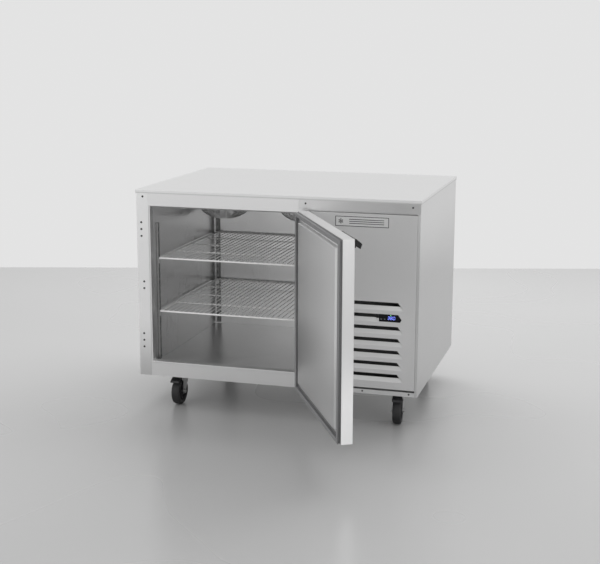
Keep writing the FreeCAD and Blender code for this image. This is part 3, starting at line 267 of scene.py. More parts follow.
def coated(name, tone, rough):
    """Wire dipped in pale plastic: a smooth skin with faint yellowing and small sags."""
    shade = Shade(name, Coat_Weight=0.4, Coat_Roughness=0.2)
    clouds = shade.noise((40.0,) * 3, detail=4.0)
    sags = shade.noise((180.0,) * 3, detail=2.0)
    shade.colour(shade.mix(shade.spread(clouds, 0.0, 1.0), grey(tone * 0.94, 0.01), grey(tone)))
    shade.rough(shade.spread(clouds, rough - 0.05, rough + 0.08))
    shade.bump(sags, 4e-5, 0.4)
    return shade.material


def foamed(name):
    """Cut polyurethane foam: open cells and a yellowed skin."""
    shade = Shade(name, Subsurface_Weight=0.05)
    cells = shade.cells(0.0016)
    clouds = shade.noise((22.0,) * 3, detail=4.0)
    shade.colour(shade.mix(shade.spread(clouds, 0.0, 1.0), (0.72, 0.62, 0.38), (0.86, 0.79, 0.58)))
    shade.rough(shade.spread(clouds, 0.85, 0.98))
    shade.bump(cells, 4e-4, 0.7)
    return shade.material


def coppered(name):
    """Drawn copper tube with darker heat marks."""
    shade = Shade(name, metallic=1.0)
    marks = shade.noise((34.0,) * 3, detail=5.0, distortion=0.8)
    fine = shade.noise((600.0,) * 3, detail=2.0)
    shade.colour(shade.mix(shade.spread(marks, 0.0, 1.0, 0.4, 0.75), (0.82, 0.46, 0.30), (0.42, 0.20, 0.13)))
    shade.rough(shade.spread(marks, 0.24, 0.46))
    shade.bump(fine, 1e-5, 0.4)
    return shade.material


def enamelled(name, colour, rough):
    """Black enamel on castings and pressings, with an orange-peel skin."""
    shade = Shade(name, Coat_Weight=0.15)
    peel = shade.noise((260.0,) * 3, detail=2.0)
    clouds = shade.noise((14.0,) * 3, detail=5.0)
    dusty = tuple(c * 0.6 + 0.09 for c in colour)
    shade.colour(shade.mix(shade.spread(clouds, 0.0, 0.5, 0.4, 0.8), colour, dusty))
    shade.rough(shade.spread(clouds, rough - 0.06, rough + 0.14))
    shade.bump(peel, 6e-5, 0.35)
    return shade.material


def lacquered(name, colour):
    """Gloss black moulding with faint handling marks."""
    shade = Shade(name, Coat_Weight=0.12, Coat_Roughness=0.08, Specular_IOR_Level=0.35)
    marks = shade.noise((30.0, 30.0, 30.0), detail=4.0)
    fine = shade.noise((500.0,) * 3, detail=2.0)
    shade.colour(shade.mix(shade.spread(marks, 0.0, 1.0), colour, tuple(c * 1.5 for c in colour)))
    shade.rough(shade.spread(marks, 0.14, 0.24))
    shade.bump(fine, 6e-6, 0.3)
    return shade.material


def glassy(name, colour):
    """Gloss black window with faint wipe marks."""
    shade = Shade(name, Specular_IOR_Level=0.12)
    marks = shade.noise((40.0, 40.0, 160.0), detail=4.0)
    shade.colour(shade.mix(shade.spread(marks, 0.0, 1.0), colour, tuple(c * 1.8 for c in colour)))
    shade.rough(shade.spread(marks, 0.12, 0.28))
    return shade.material


def lit(name, colour, strength):
    """A lit segment with a slightly mottled glow."""
    shade = Shade(name, Roughness=0.4)
    mottle = shade.noise((1500.0,) * 3, detail=1.0)
    glow = shade.mix(shade.spread(mottle, 0.0, 1.0), tuple(c * 0.75 for c in colour), colour)
    shade.colour(glow)
    shade.link(glow, shade.shader.inputs["Emission Color"])
    shade.shader.inputs["Emission Strength"].default_value = strength
    return shade.material


# Each ramp passed last to brushed is painted shade. It darkens the worktop's front lip, the left stile, the
# right side, the door liner and the inner walls towards the bottom, the header towards the left, the strip
# towards the right and the door skin towards the top.
MATERIALS = {
    "top": brushed("steel_top", 0.87, 0.48, "x", painted_shade=("z", 0.8195, 0.8140, 0.22)),
    # The right side's lower tone is painted shade, for a side that gets less light.
    "side": brushed("steel_side", 0.74, 0.34, "y", painted_shade=("z", 0.78, 0.50, 0.16)),
    "front": brushed("steel_front", 0.95, 0.33, "z", painted_shade=("z", 0.36, 0.10, 0.40)),
    "header": brushed("steel_header", 0.97, 0.33, "x", painted_shade=("x", 0.06, -0.42, 0.07)),
    "panel": brushed("steel_panel", 0.73, 0.38, "z"),
    "strip": brushed("steel_strip", 0.88, 0.30, "x", painted_shade=("x", 0.10, 0.34, 0.24)),
    "door": brushed("steel_door", 0.97, 0.32, "z", painted_shade=("z", 0.24, 0.48, 0.24)),
    "inner_door": brushed("steel_inner_door", 0.93, 0.48, "z", painted_shade=("z", 0.50, 0.26, 0.26)),
    "inner": brushed("steel_inner", 0.84, 0.28, "z", contrast=0.004, smudge=0.006, scratch=0.006,
                     painted_shade=("z", 0.62, 0.40, 0.18)),
    "breaker": brushed("steel_breaker", 0.76, 0.48, "x"),
    "zinc": rolled("zinc_sheet", 0.60, 0.48),
    "zinc_bright": rolled("zinc_bright", 0.70, 0.40, cell=0.006),
    # The pilasters' darker zinc is painted shade: it keeps them as dim as the shaded wall around them.
    "pilaster": rolled("pilaster_sheet", 0.34, 0.42, cell=0.006),
    "cover": rolled("cover_sheet", 0.66, 0.40, spangle=0.02),
    "wire": coated("shelf_wire", 0.90, 0.30),
    "guard": plated("guard_wire", 0.90, 0.34, metallic=0.8),
    "foam": foamed("foam"),
    "fin": rolled("fin_aluminium", 0.60, 0.42, spangle=0.04, cell=0.02),
    # The condenser fins' near-black tone is painted shade for the unlit machine compartment behind the
    # louvres.
    "fin_dark": rolled("fin_dark", 0.12, 0.55, spangle=0.08, cell=0.02),
    "motor": enamelled("black_enamel", (0.028, 0.028, 0.030), 0.38),
    "copper": coppered("copper_tube"),
    "blade": moulded("blade_plastic", (0.055, 0.056, 0.060), 0.48),
    "gasket": moulded("gasket_vinyl", (0.27, 0.27, 0.275), 0.50, grain_size=0.0014, dust=0.15),
    "plastic": moulded("black_plastic", (0.018, 0.018, 0.019), 0.42, dust=0.12),
    "grip": lacquered("grip_black", (0.005, 0.005, 0.006)),
    "hinge": plated("hinge_plate", 0.62, 0.34, scale=40.0),
    "screw": plated("screw_black", 0.05, 0.42, scale=300.0, metallic=0.6),
    "bolt": plated("bolt_zinc", 0.46, 0.38, scale=120.0),
    "badge": brushed("badge_plate", 0.80, 0.34, "x", contrast=0.02),
    "ink": moulded("badge_ink", (0.020, 0.020, 0.022), 0.45, dust=0.1),
    "window": glassy("display_window", (0.006, 0.006, 0.008)),
    "key": moulded("key_plastic", (0.020, 0.020, 0.023), 0.34, grain_size=0.0006, dust=0.1),
    "mark": moulded("key_mark", (0.55, 0.56, 0.58), 0.5, grain_size=0.0005, dust=0.1),
    "rubber": moulded("mount_rubber", (0.022, 0.022, 0.022), 0.68, grain_size=0.0012, dust=0.4),
    "caster": plated("caster_zinc", 0.52, 0.40, scale=55.0),
    "pedal": moulded("pedal_plastic", (0.024, 0.024, 0.026), 0.46, dust=0.3),
    "tyre": moulded("tyre_rubber", (0.016, 0.016, 0.017), 0.58, grain_size=0.0018, depth=5e-5, dust=0.35),
    "hub": moulded("hub_nylon", (0.030, 0.030, 0.033), 0.46, grain_size=0.001, dust=0.3),
    "drain": moulded("drain_tube", (0.030, 0.030, 0.032), 0.46, dust=0.2),
    "digit": lit("digit_blue", (0.20, 0.26, 1.0), 1.4),
    "lamp": lit("lamp_green", (0.25, 1.0, 0.30), 1.6),
}

DRESS = {
    "worktop": "top", "side_panel_left": "front", "side_panel_right": "side", "door_header": "header",
    "partition_panel": "header", "bottom_panel": "panel", "fascia_strip": "strip", "louvre_panel": "panel",
    "door_skin": "door", "door_liner": "inner_door", "liner_shell": "inner", "breaker_strip": "breaker",
    "back_panel": "zinc", "shelf_pilasters": "pilaster", "shelf_clips": "zinc_bright",
    "evaporator_cover": "cover", "fan_shroud": "zinc", "unit_base": "zinc", "shelf_upper": "wire",
    "shelf_lower": "wire", "evaporator_fan_guards": "guard", "insulation_foam": "foam", "door_foam": "foam",
    "evaporator_coil": "fin", "condenser_coil": "fin_dark", "evaporator_fan_motors": "motor",
    "condenser_fan_motor": "motor", "compressor": "motor", "refrigerant_lines": "copper",
    "evaporator_fan_left": "blade", "evaporator_fan_right": "blade", "condenser_fan": "blade",
    "door_gasket": "gasket", "door_handle": "grip", "hole_plugs": "plastic",
    "controller_housing": "plastic", "cable_gland": "plastic", "drain_tube": "drain",
    "brake_pedal_front_left": "pedal", "brake_pedal_front_right": "pedal", "hinge_brackets": "hinge",
    "hinge_leaves": "hinge", "hinge_pins": "hinge", "face_screws": "screw", "leaf_screws": "screw",
    "caster_bolts": "bolt", "badge_plate": "badge", "controller_lens": "window", "button_set": "key",
    "button_down": "key", "compressor_mounts": "rubber", "caster_plates": "caster",
}
CORNERS = ("front_left", "front_right", "back_left", "back_right")
for corner in CORNERS:
    DRESS["fork_" + corner] = "caster"
    DRESS["wheel_" + corner] = "tyre"


def dress(thing, look):
    """Gives a thing one of the materials and no other."""
    thing.data.materials.clear()
    thing.data.materials.append(MATERIALS[look])


for node, look in DRESS.items():
    dress(NODES[node], look)


# ---- mesh helpers ----
def piece(name, points, faces, look, body, slot, smooth=False):
    """A mesh piece that rides on a body; points are in the row frame, in metres."""
    mesh = bpy.data.meshes.new(name)
    mesh.from_pydata([tuple(p) for p in points], [], faces)
    mesh.validate()
    work = bmesh.new()
    work.from_mesh(mesh)
    bmesh.ops.recalc_face_normals(work, faces=work.faces)
    work.to_mesh(mesh)
    work.free()
    for polygon in mesh.polygons:
        polygon.use_smooth = smooth
    made = bpy.data.objects.new(name, mesh)
    bpy.context.scene.collection.objects.link(made)
    dress(made, look)
    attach(made, body)
    return made


def gather(parts):
    """Joins (points, faces) pairs into one pair."""
    points, faces = [], []
    for more, loops in parts:
        base = len(points)
        points += more
        faces += [tuple(base + i for i in loop) for loop in loops]
    return points, faces


def placed(part, matrix):
    """A (points, faces) pair moved by a matrix."""
    return [matrix @ Vector(p) for p in part[0]], part[1]


def block(low, high):
    """A box between two corners."""
    x, y, z = zip(low, high)
    points = [(x[i], y[j], z[k]) for i in (0, 1) for j in (0, 1) for k in (0, 1)]
    faces = [(0, 1, 3, 2), (4, 6, 7, 5), (0, 4, 5, 1), (2, 3, 7, 6), (0, 2, 6, 4), (1, 5, 7, 3)]
    return points, faces


def extruded(outline, low, high):
    """A prism on the XZ plane from y = low to high, its outline given as (x, z) points."""
    count = len(outline)
    points = [(x, y, z) for y in (low, high) for x, z in outline]
    faces = [tuple(range(count)), tuple(range(2 * count - 1, count - 1, -1))]
    faces += [(i, (i + 1) % count, count + (i + 1) % count, count + i) for i in range(count)]
    return points, faces


def turned(profile, segments=64):
    """A closed (radius, height) loop or a line that ends on the axis, turned about Z."""
    open_ends = profile[0][0] < 1e-9
    rings = profile[1:-1] if open_ends else profile
    points = [(r * math.cos(a), r * math.sin(a), h) for r, h in rings
              for a in (2 * math.pi * n / segments for n in range(segments))]
    faces = []
    spans = len(rings) - 1 if open_ends else len(rings)
    for row in range(spans):
        after = (row + 1) % len(rings)
        for n in range(segments):
            m = (n + 1) % segments
            faces.append((row * segments + n, row * segments + m, after * segments + m, after * segments + n))
    if open_ends:
        points += [(0, 0, profile[0][1]), (0, 0, profile[-1][1])]
        first, last = len(points) - 2, len(points) - 1
        base = (len(rings) - 1) * segments
        faces += [(first, (n + 1) % segments, n) for n in range(segments)]
        faces += [(last, base + n, base + (n + 1) % segments) for n in range(segments)]
    return points, faces


def rounded(points, steps=4):
    """A smooth closed loop through the points (Catmull-Rom)."""
    made = []
    count = len(points)
    for i in range(count):
        a, b, c, d = (Vector(points[(i + k) % count]) for k in (-1, 0, 1, 2))
        for step in range(steps):
            t = step / steps
            made.append(0.5 * (2 * b + (c - a) * t + (2 * a - 5 * b + 4 * c - d) * t * t
                               + (3 * b - a - 3 * c + d) * t ** 3))
    return made


def wire(line, radius, closed=False):
    """A wire of eight sides along a line of points."""
    sides = 8
    line = [Vector(p) for p in line]
    count = len(line)
    points, faces = [], []
    for i, at in enumerate(line):
        before = line[(i - 1) % count] if closed or i else line[0]
        after = line[(i + 1) % count] if closed or i < count - 1 else line[-1]
        ahead = (after - before).normalized()
        side = ahead.cross(UP if abs(ahead.z) < 0.9 else Vector((1, 0, 0))).normalized()
        lift = side.cross(ahead)
        for n in range(sides):
            a = 2 * math.pi * n / sides
            points.append(at + (side * math.cos(a) + lift * math.sin(a)) * radius)
    for i in range(count if closed else count - 1):
        j = (i + 1) % count
        for n in range(sides):
            m = (n + 1) % sides
            faces.append((i * sides + n, i * sides + m, j * sides + m, j * sides + n))
    if not closed:
        faces += [tuple(range(sides)), tuple(range(count * sides - 1, (count - 1) * sides - 1, -1))]
    return points, faces


def islands(node):
    """The separate solids of a CAD node, each as a list of its points."""
    mesh = NODES[node].data
    spot = [tuple(round(c, 6) for c in v.co) for v in mesh.vertices]
    parent = {p: p for p in spot}

    def root(p):
        while parent[p] != p:
            parent[p] = parent[parent[p]]
            p = parent[p]
        return p

    for edge in mesh.edges:
        a, b = (root(spot[i]) for i in edge.vertices)
        parent[max(a, b)] = min(a, b)
    found = {}
    for p in sorted(parent):
        found.setdefault(root(p), []).append(Vector(p))
    return list(found.values())


# ---- door gasket ----
def door_gasket():
    """Vinyl gasket: a foot on the liner, two bellows folds and a soft sealing bulb, mitred at the corners."""
    low, high = closed_box("door_gasket")
    reach = high.y - low.y
    height = 12.1
    foot = [(0.4, 0.0), (17.6, 0.0), (18.0, 1.6), (12.4, 2.2)]
    bellows_in = [(11.8, 3.8), (14.2, 4.6), (14.6, 5.6), (13.4, 6.4), (12.2, 7.3)]
    bulb = [(14.6, 8.6), (15.0, 10.4), (13.6, 11.9), (11.0, height), (4.0, height), (1.4, 11.9),
            (0.0, 10.4), (0.4, 8.6)]
    bellows_out = [(2.8, 7.3), (1.8, 6.4), (0.6, 5.6), (0.9, 4.6), (3.2, 3.8)]
    section = foot + bellows_in + bulb + bellows_out + [(3.2, 2.2), (0.0, 1.6)]
    scale = reach / (height * MM)
    loop = [(p.x * MM, p.y * MM * scale) for p in rounded(section, 3)]
    count = len(loop)
    corners = ((low.x, low.z, 1, 1), (high.x, low.z, -1, 1), (high.x, high.z, -1, -1), (low.x, high.z, 1, -1))
    points = [(x + sx * u, low.y + min(max(v, 0.0), reach), z + sz * u)
              for x, z, sx, sz in corners for u, v in loop]
    faces = []
    for corner in range(4):
        after = (corner + 1) % 4
        for n in range(count):
            m = (n + 1) % count
            faces.append((corner * count + n, corner * count + m, after * count + m, after * count + n))
    made = piece("gasket_bellows", points, faces, "gasket", "door", "gasket", True)
    opened(made)
    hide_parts("door_gasket")


# ---- screws ----
def screw_head(radius, height):
    """A pan head with a cross recess, standing on z = 0."""
    sectors, rings = 48, 14
    sag, rim_drop, rim_start = 0.28, 0.3, 0.82
    slot_half, slot_slope = 0.17 * radius, 0.08 * radius
    slot_end, end_slope = 0.62 * radius, 0.3 * radius
    slot_depth = 0.62 * height
    points, faces = [(0, 0, 0)], []
    for ring in range(rings + 1):
        reach = radius * (ring / rings)
        for n in range(sectors):
            a = 2 * math.pi * n / sectors
            x, y = reach * math.cos(a), reach * math.sin(a)
            share = reach / radius
            dome = height * (1 - sag * share ** 2 - rim_drop * max(0.0, share - rim_start) / (1 - rim_start))
            narrow, far = min(abs(x), abs(y)), max(abs(x), abs(y))
            slot = min(1.0, max(0.0, (slot_half - narrow) / slot_slope))
            ends = min(1.0, max(0.0, (slot_end - far) / end_slope))
            points.append((x, y, dome - slot_depth * slot * ends))
    for ring in range(rings):
        for n in range(sectors):
            m = (n + 1) % sectors
            a = 1 + ring * sectors
            faces.append((a + n, a + sectors + n, a + sectors + m, a + m))
    rim = 1 + rings * sectors
    skirt = len(points)
    points += [(radius * math.cos(2 * math.pi * n / sectors), radius * math.sin(2 * math.pi * n / sectors), 0)
               for n in range(sectors)]
    for n in range(sectors):
        m = (n + 1) % sectors
        faces += [(rim + n, skirt + n, skirt + m, rim + m), (skirt + n, 0, skirt + m)]
    return points, faces


def off_axis(point, middle, outward):
    """How far a point is from the line through middle along outward."""
    return (point - middle - outward * (point - middle).dot(outward)).length


def screws(name, node, body, outward):
    """Cross-head screws where the CAD's screws are, heads turned at random as a person leaves them."""
    dice = random.Random(7)
    head_top = 0.9 * MM
    recess = 2.4 * MM
    outward = Vector(outward).normalized()
    parts = []
    for island in islands(node):
        tip = max(p.dot(outward) for p in island)
        top = [p for p in island if p.dot(outward) > tip - head_top]
        middle = sum(top, Vector()) / len(top)
        rim = [p for p in island if off_axis(p, middle, outward) > recess]
        base = min(p.dot(outward) for p in rim)
        radius = max(off_axis(p, middle, outward) for p in rim)
        foot = middle + outward * (base - middle.dot(outward))
        turn = outward.to_track_quat("Z", "Y").to_matrix().to_4x4()
        spin = Matrix.Rotation(dice.uniform(0, math.pi), 4, "Z")
        parts.append(placed(screw_head(radius, tip - base), Matrix.Translation(foot) @ turn @ spin))
    points, faces = gather(parts)
    made = piece(name, points, faces, "screw", body, "screw_steel", True)
    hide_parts(node)


# ---- coil fins ----
def fins(name, node, body, inset, pitch, look, slot):
    """Thin plates across a coil's block, standing a little proud of it."""
    low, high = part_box(node)
    low = low + Vector(inset[0]) * MM
    high = high - Vector(inset[1]) * MM
    proud = 1.1 * MM
    thick = 0.25 * MM
    uneven = 0.15
    count = int((high.x - low.x) / pitch)
    dice = random.Random(11)
    parts = []
    for n in range(1, count):
        x = low.x + n * (high.x - low.x) / count + dice.uniform(-uneven, uneven) * MM
        lower = (x - thick, low.y - proud, low.z + MM)
        upper = (x + thick, high.y + proud, high.z - MM)
        parts.append(block(lower, upper))
    points, faces = gather(parts)
    piece(name, points, faces, look, body, slot)


# ---- evaporator fan guards ----
DOME = ((98.0, 0.0), (92.0, 14.0), (80.0, 25.0), (62.0, 35.0), (42.0, 42.0), (22.0, 42.0))
RINGS_PER_SPAN = 3


def dome_line():
    """Radius and drop of each ring, evenly spaced between the dome's own corners."""
    line = []
    for (r0, d0), (r1, d1) in zip(DOME, DOME[1:]):
        line += [(r0 + (r1 - r0) * n / RINGS_PER_SPAN, d0 + (d1 - d0) * n / RINGS_PER_SPAN)
                 for n in range(RINGS_PER_SPAN)]
    return line + [DOME[-1]]


def fan_guards():
    """Domed wire guards: round rings, ribs that follow the dome and a pressed boss."""
    low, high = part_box("evaporator_fan_guards")
    radius = 1.5 * MM
    ring_radius = 1.1 * MM
    steps, ribs = 72, 8
    parts = []
    for fan in ("evaporator_fan_left", "evaporator_fan_right"):
        fan_low, fan_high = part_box(fan)
        centre = (fan_low + fan_high) / 2
        top = high.z - radius
        depth = (top - radius - low.z) / (DOME[-1][1] * MM + MM * 0.5)
        line = [(r * MM, top - drop * MM * depth) for r, drop in dome_line()]
        for r, z in line:
            ring = [(centre.x + r * math.cos(a), centre.y + r * math.sin(a), z)
                    for a in (2 * math.pi * n / steps for n in range(steps))]
            outer_or_inner = r in (line[0][0], line[-1][0])
            parts.append(wire(ring, radius if outer_or_inner else ring_radius, closed=True))
        for rib in range(ribs):
            a = math.radians(360 / ribs * (rib + 0.5))
            path = [(centre.x + r * math.cos(a), centre.y + r * math.sin(a), z + radius) for r, z in line]
            path.append((centre.x, centre.y, line[-1][1] + radius))
            parts.append(wire(path, radius * 0.9))
        boss = [(0, -1.6), (13.0, -1.6), (15.0, -0.6), (15.0, 0.8), (13.5, 1.8), (0, 1.8)]
        cap = turned([(r * MM, h * MM) for r, h in boss], 40)
        parts.append(placed(cap, Matrix.Translation((centre.x, centre.y, line[-1][1] + 0.4 * MM))))
    points, faces = gather(parts)
    made = piece("fan_guard_wires", points, faces, "guard", "cabinet", "guard_wire", True)
    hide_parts("evaporator_fan_guards")


# ---- display and badge ----
# A digit's width and height, and where the digits and the lamp sit on the window, in millimetres.
# The lean is a slope: how far a digit moves right for its height.
SEGMENTS = {"0": "abcdef", "3": "abcdg", "8": "abcdefg"}
DIGIT = (6.0, 10.4)
DIGIT_PITCH = 9.8
DIGITS_FROM_LEFT = 31.0
DIGITS_FROM_TOP = 17.5
DIGIT_LEAN = 0.12
BAR_HALF = 0.85
BAR_GAP = 0.35
POINT_BEFORE_DIGIT = 1.9
LAMP_FROM_DIGITS = 11.0
LAMP_FROM_TOP = 3.2


def segment_outline(start, end, half):
    """A seven-segment bar from start to end with pointed ends."""
    start, end = Vector(start), Vector(end)
    ahead = (end - start).normalized()
    side = Vector((-ahead.y, ahead.x))
    start, end = start + ahead * BAR_GAP, end - ahead * BAR_GAP
    return [start, start + ahead * half + side * half, end - ahead * half + side * half, end,
            end - ahead * half - side * half, start + ahead * half - side * half]


def digit(symbol):
    """The lit bars of one digit, its lower left corner at the origin, in millimetres."""
    w, h = DIGIT
    m = h / 2
    bars = {"a": ((0, h), (w, h)), "b": ((w, m), (w, h)), "c": ((w, 0), (w, m)), "d": ((0, 0), (w, 0)),
            "e": ((0, 0), (0, m)), "f": ((0, m), (0, h)), "g": ((0, m), (w, m))}
    return [segment_outline(*bars[k], BAR_HALF) for k in SEGMENTS[symbol]]


def display():
    """Three lit digits and a pilot lamp on the black window, and marks on the keys."""
    face = LENS_LOW.y
    proud = 0.12 * MM
    bars = []
    left = LENS_LOW.x + DIGITS_FROM_LEFT * MM
    foot = LENS_HIGH.z - DIGITS_FROM_TOP * MM
    point_radius = 0.8 * MM
    for place, symbol in enumerate("380"):
        shift = left + place * DIGIT_PITCH * MM
        for outline in digit(symbol):
            bars.append(extruded([(shift + (p.x + DIGIT_LEAN * p.y) * MM, foot + p.y * MM) for p in outline],
                                 face - proud, face + proud))
    stop = left + (2 * DIGIT_PITCH - POINT_BEFORE_DIGIT) * MM
    point = [(stop + point_radius * math.cos(a), foot + point_radius * math.sin(a))
             for a in (2 * math.pi * n / 20 for n in range(20))]
    bars.append(extruded(point, face - proud, face + proud))
    piece("display_digits", *gather(bars), "digit", "cabinet", "display_glass")
    centre = Vector((left + LAMP_FROM_DIGITS * MM, face, LENS_HIGH.z - LAMP_FROM_TOP * MM))
    lamp = turned([(0, -0.2 * MM), (1.3 * MM, -0.2 * MM), (1.3 * MM, 0.2 * MM), (0.9 * MM, 0.5 * MM),
                   (0, 0.6 * MM)], 28)
    lamp = placed(lamp, Matrix.Translation(centre) @ Matrix.Rotation(math.radians(90), 4, "X"))
    piece("pilot_lamp", *lamp, "lamp", "cabinet", "display_glass", True)
    for key, kind in (("button_set", "rules"), ("button_down", "arrow")):
        low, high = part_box(key)
        mid = (low + high) / 2
        if kind == "arrow":
            outline = [(-1.5, 0.8), (1.5, 0.8), (0, -1.1)]
            part = extruded([(mid.x + x * MM, mid.z + z * MM) for x, z in outline],
                            low.y - proud, low.y + proud)
        else:
            rules = []
            for at in (-0.9, 0.0, 0.9):
                under, over = at - 0.25, at + 0.25
                outline = [(-1.4, under), (1.4, under), (1.4, over), (-1.4, over)]
                rules.append(extruded([(mid.x + x * MM, mid.z + z * MM) for x, z in outline],
                                      low.y - proud, low.y + proud))
            part = gather(rules)
        piece(key + "_mark", *part, "mark", key, "key_plastic")


def frame_outline(low_x, high_x, low_z, high_z, width, front, back):
    """A flat rectangular frame on the XZ plane as one closed mesh."""
    outer = [(low_x, low_z), (high_x, low_z), (high_x, high_z), (low_x, high_z)]
    inner = [(low_x + width, low_z + width), (high_x - width, low_z + width),
             (high_x - width, high_z - width), (low_x + width, high_z - width)]
    points = [(x, y, z) for y in (front, back) for x, z in outer + inner]
    faces = []
    for n in range(4):
        m = (n + 1) % 4
        faces += [(n, m, 4 + m, 4 + n), (8 + n, 12 + n, 12 + m, 8 + m), (n, 8 + n, 8 + m, m),
                  (4 + n, 4 + m, 12 + m, 12 + n)]
    return points, faces


def bar_on_badge(centre, angle, reach, half, front, back):
    """A printed bar that reaches equally far both ways from its centre; half is half its width."""
    turn = Matrix.Rotation(angle, 2)
    outline = [turn @ Vector(p) for p in ((-reach, -half), (reach, -half), (reach, half), (-reach, half))]
    return extruded([(centre[0] + p.x, centre[1] + p.y) for p in outline], front, back)


def badge():
    """Printed work on the blank plate: a border, a plain frost star and three rules."""
    ink_front, ink_back = BADGE_LOW.y - 0.05 * MM, BADGE_LOW.y + 0.9 * MM
    edge = 0.2 * MM
    parts = [frame_outline(BADGE_LOW.x + edge, BADGE_HIGH.x - edge, BADGE_LOW.z + edge, BADGE_HIGH.z - edge,
                           2.2 * MM, ink_front, ink_back)]
    middle = (BADGE_LOW.z + BADGE_HIGH.z) / 2
    star = (BADGE_LOW.x + 20.0 * MM, middle)
    arm, arm_half = 9.5 * MM, 0.8 * MM
    for n in range(3):
        parts.append(bar_on_badge(star, math.radians(60 * n + 30), arm, arm_half, ink_front, ink_back))
    twig, twig_half = 2.8 * MM, 0.6 * MM
    twig_place = 6.2 * MM
    for n in range(6):
        a = math.radians(60 * n + 30)
        at = (star[0] + twig_place * math.cos(a), star[1] + twig_place * math.sin(a))
        parts.append(bar_on_badge(at, a + math.pi / 2, twig, twig_half, ink_front, ink_back))
    rule, rule_half = 62.0 * MM, 1.1 * MM
    for rise in (7.0, 0.0, -7.0):
        at = (BADGE_LOW.x + 112.0 * MM, middle + rise * MM)
        parts.append(bar_on_badge(at, 0.0, rule, rule_half, ink_front, ink_back))
    piece("badge_print", *gather(parts), "ink", "cabinet", "badge")


# ---- caster wheels ----
def caster_wheel(corner):
    """Rubber tyre with a crowned tread, and a ribbed nylon centre with a hub."""
    joint = next(j for j in frame["joints"] if j["name"] == "spin_" + corner)
    low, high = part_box("wheel_" + corner)
    radius = (high.z - low.z) / 2
    half = 16.0 * MM
    centre = Vector(joint["pos_m"])
    turn = Vector(joint["axis"]).to_track_quat("Z", "Y").to_matrix().to_4x4()
    matrix = Matrix.Translation(centre) @ turn
    rim = radius - 12.0 * MM
    tread = [(rim, -half + 1.4 * MM), (rim + 2.5 * MM, -half + 0.2 * MM), (radius - 6.0 * MM, -half),
             (radius - 2.6 * MM, -half + 1.6 * MM), (radius - 0.9 * MM, -half + 5.0 * MM)]
    crown = [(radius - 0.25 * MM, -half + 9.0 * MM), (radius, 0.0), (radius - 0.25 * MM, half - 9.0 * MM)]
    tyre = tread + crown + [(r, -h) for r, h in reversed(tread)]
    made = piece("tyre_" + corner, *placed(turned(tyre, 96), matrix), "tyre", "wheel_" + corner,
                 "caster_wheel", True)
    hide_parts("wheel_" + corner)
    bore = 4.1 * MM
    hub_half = half + 1.2 * MM
    web = 3.0 * MM
    hub = 13.0 * MM
    flange = half - 1.6 * MM
    side = [(bore, hub_half), (hub - MM, hub_half), (hub, hub_half - MM), (hub + 0.8 * MM, web),
            (rim - 3.4 * MM, web), (rim - 2.4 * MM, flange - 0.6 * MM), (rim - 1.8 * MM, flange),
            (rim + 0.2 * MM, flange)]
    centre_parts = [turned(side + [(r, -h) for r, h in reversed(side)], 96)]
    rib_count = 8
    for n in range(rib_count):
        reach = flange - 3.5 * MM
        spoke = block((hub - 0.6 * MM, -1.1 * MM, -reach), (rim - 2.6 * MM, 1.1 * MM, reach))
        centre_parts.append(placed(spoke, Matrix.Rotation(2 * math.pi * n / rib_count, 4, "Z")))
    core = placed(gather(centre_parts), matrix)
    made = piece("wheel_centre_" + corner, *core, "hub", "wheel_" + corner, "caster_wheel")
    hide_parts("wheel_" + corner)


door_gasket()
screws("cabinet_screws", "face_screws", "cabinet", (0, -1, 0))
screws("hinge_screws", "leaf_screws", "door", (math.cos(DOOR_OPEN), math.sin(DOOR_OPEN), 0))
# The condenser fins are near black: painted shade seen through the louvre slots.
fins("condenser_fins", "condenser_coil", "cabinet", ((20.8, 4, 0), (20.8, 4, 4)), 3.2 * MM, "fin_dark",
     "fin_aluminium")
fins("evaporator_fins", "evaporator_coil", "cabinet", ((18, 0, 0), (18, 0, 0)), 4.2 * MM, "fin",
     "fin_aluminium")
fan_guards()
display()
badge()
for corner in CORNERS:
    caster_wheel(corner)


# ---- the studio ----
CAMERA_PLACE = (1.2485, -4.0864, 1.3766)
CAMERA_YAW, CAMERA_PITCH, CAMERA_ROLL = 16.11, 11.69, 0.149
CAMERA_LENS = 71.52


def camera():
    """The camera that the main view is taken with."""
    data = bpy.data.cameras.new("camera")
    data.lens = CAMERA_LENS
    data.sensor_width = 36.0
    data.clip_end = 60.0
    made = bpy.data.objects.new("camera", data)
    swing = Matrix.Rotation(math.radians(CAMERA_YAW), 4, "Z")
    turn = swing @ Matrix.Rotation(math.radians(90 - CAMERA_PITCH), 4, "X")
    made.matrix_world = (Matrix.Translation(CAMERA_PLACE) @ turn
                         @ Matrix.Rotation(math.radians(CAMERA_ROLL), 4, "Z"))
    bpy.context.scene.collection.objects.link(made)
    bpy.context.scene.camera = made


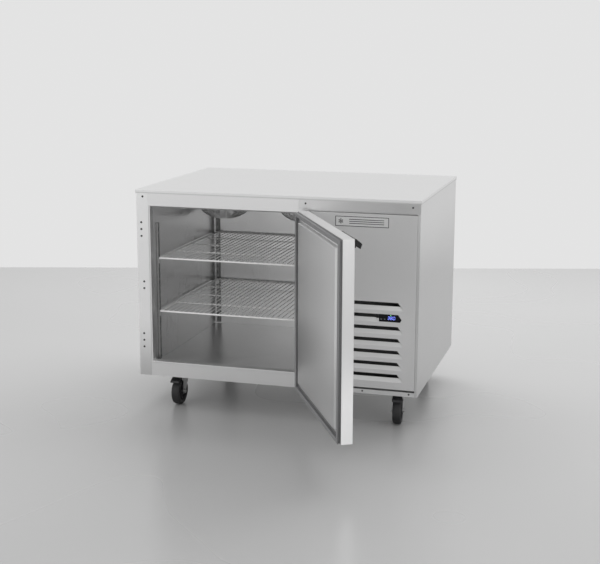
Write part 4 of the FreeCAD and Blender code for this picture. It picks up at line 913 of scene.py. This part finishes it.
def studio():
    """An even pale sky, a touch brighter towards the front."""
    scene = bpy.context.scene
    scene.view_settings.view_transform = "Standard"
    world = bpy.data.worlds.new("studio")
    scene.world = world
    world.use_nodes = True
    tree = world.node_tree
    place = tree.nodes.new("ShaderNodeTexCoord").outputs["Generated"]
    split = tree.nodes.new("ShaderNodeSeparateXYZ")
    tree.links.new(place, split.inputs[0])
    ramp = tree.nodes.new("ShaderNodeMapRange")
    ramp.interpolation_type = "SMOOTHSTEP"
    for socket, number in (("From Min", -0.9), ("From Max", 0.5), ("To Min", 0.78), ("To Max", 0.77)):
        ramp.inputs[socket].default_value = number
    tree.links.new(split.outputs["Y"], ramp.inputs["Value"])
    tree.nodes["Background"].inputs["Color"].default_value = (1.0, 1.0, 1.0, 1.0)
    tree.links.new(ramp.outputs["Result"], tree.nodes["Background"].inputs["Strength"])


def soft_light(name, place, aim, size, power, seen_in_gloss=True):
    """A rectangular area light at place, facing aim."""
    data = bpy.data.lights.new(name, "AREA")
    data.shape = "RECTANGLE"
    data.size, data.size_y = size
    data.energy = power
    made = bpy.data.objects.new(name, data)
    made.visible_glossy = seen_in_gloss
    made.location = place
    made.rotation_euler = (Vector(aim) - Vector(place)).to_track_quat("-Z", "Y").to_euler()
    bpy.context.scene.collection.objects.link(made)


def floor():
    """A pale sealed floor with a faint sheen, which ends where the back wall would stand."""
    shade = Shade("studio_floor")
    clouds = shade.noise((1.1, 1.1, 1.1), detail=1.0)
    shade.colour(shade.mix(shade.spread(clouds, 0.0, 1.0), grey(0.44), grey(0.46)))
    shade.rough(shade.spread(clouds, 0.26, 0.30))
    mesh = bpy.data.meshes.new("floor")
    half = 14.0
    far = 7.07
    facing = math.radians(CAMERA_YAW)
    ahead = Vector((-math.sin(facing), math.cos(facing), 0))
    side = Vector((math.cos(facing), math.sin(facing), 0))
    stand = Vector((CAMERA_PLACE[0], CAMERA_PLACE[1], 0))
    corners = [stand + ahead * a + side * s
               for a, s in ((-half, -half), (-half, half), (far, half), (far, -half))]
    mesh.from_pydata([tuple(c) for c in corners], [], [(0, 1, 2, 3)])
    made = bpy.data.objects.new("floor", mesh)
    made.data.materials.append(shade.material)
    bpy.context.scene.collection.objects.link(made)


camera()
studio()
floor()
soft_light("back_overhead", (0.4, 2.2, 3.4), (0, 0.2, 0.3), (4.5, 2.6), 110.0, seen_in_gloss=False)
soft_light("front_left", (-3.4, -3.4, 2.0), (0, -0.2, 0.5), (2.6, 2.6), 22.0)
soft_light("front_right", (3.6, -3.8, 1.7), (0.3, -0.5, 0.4), (3.0, 3.0), 28.0)
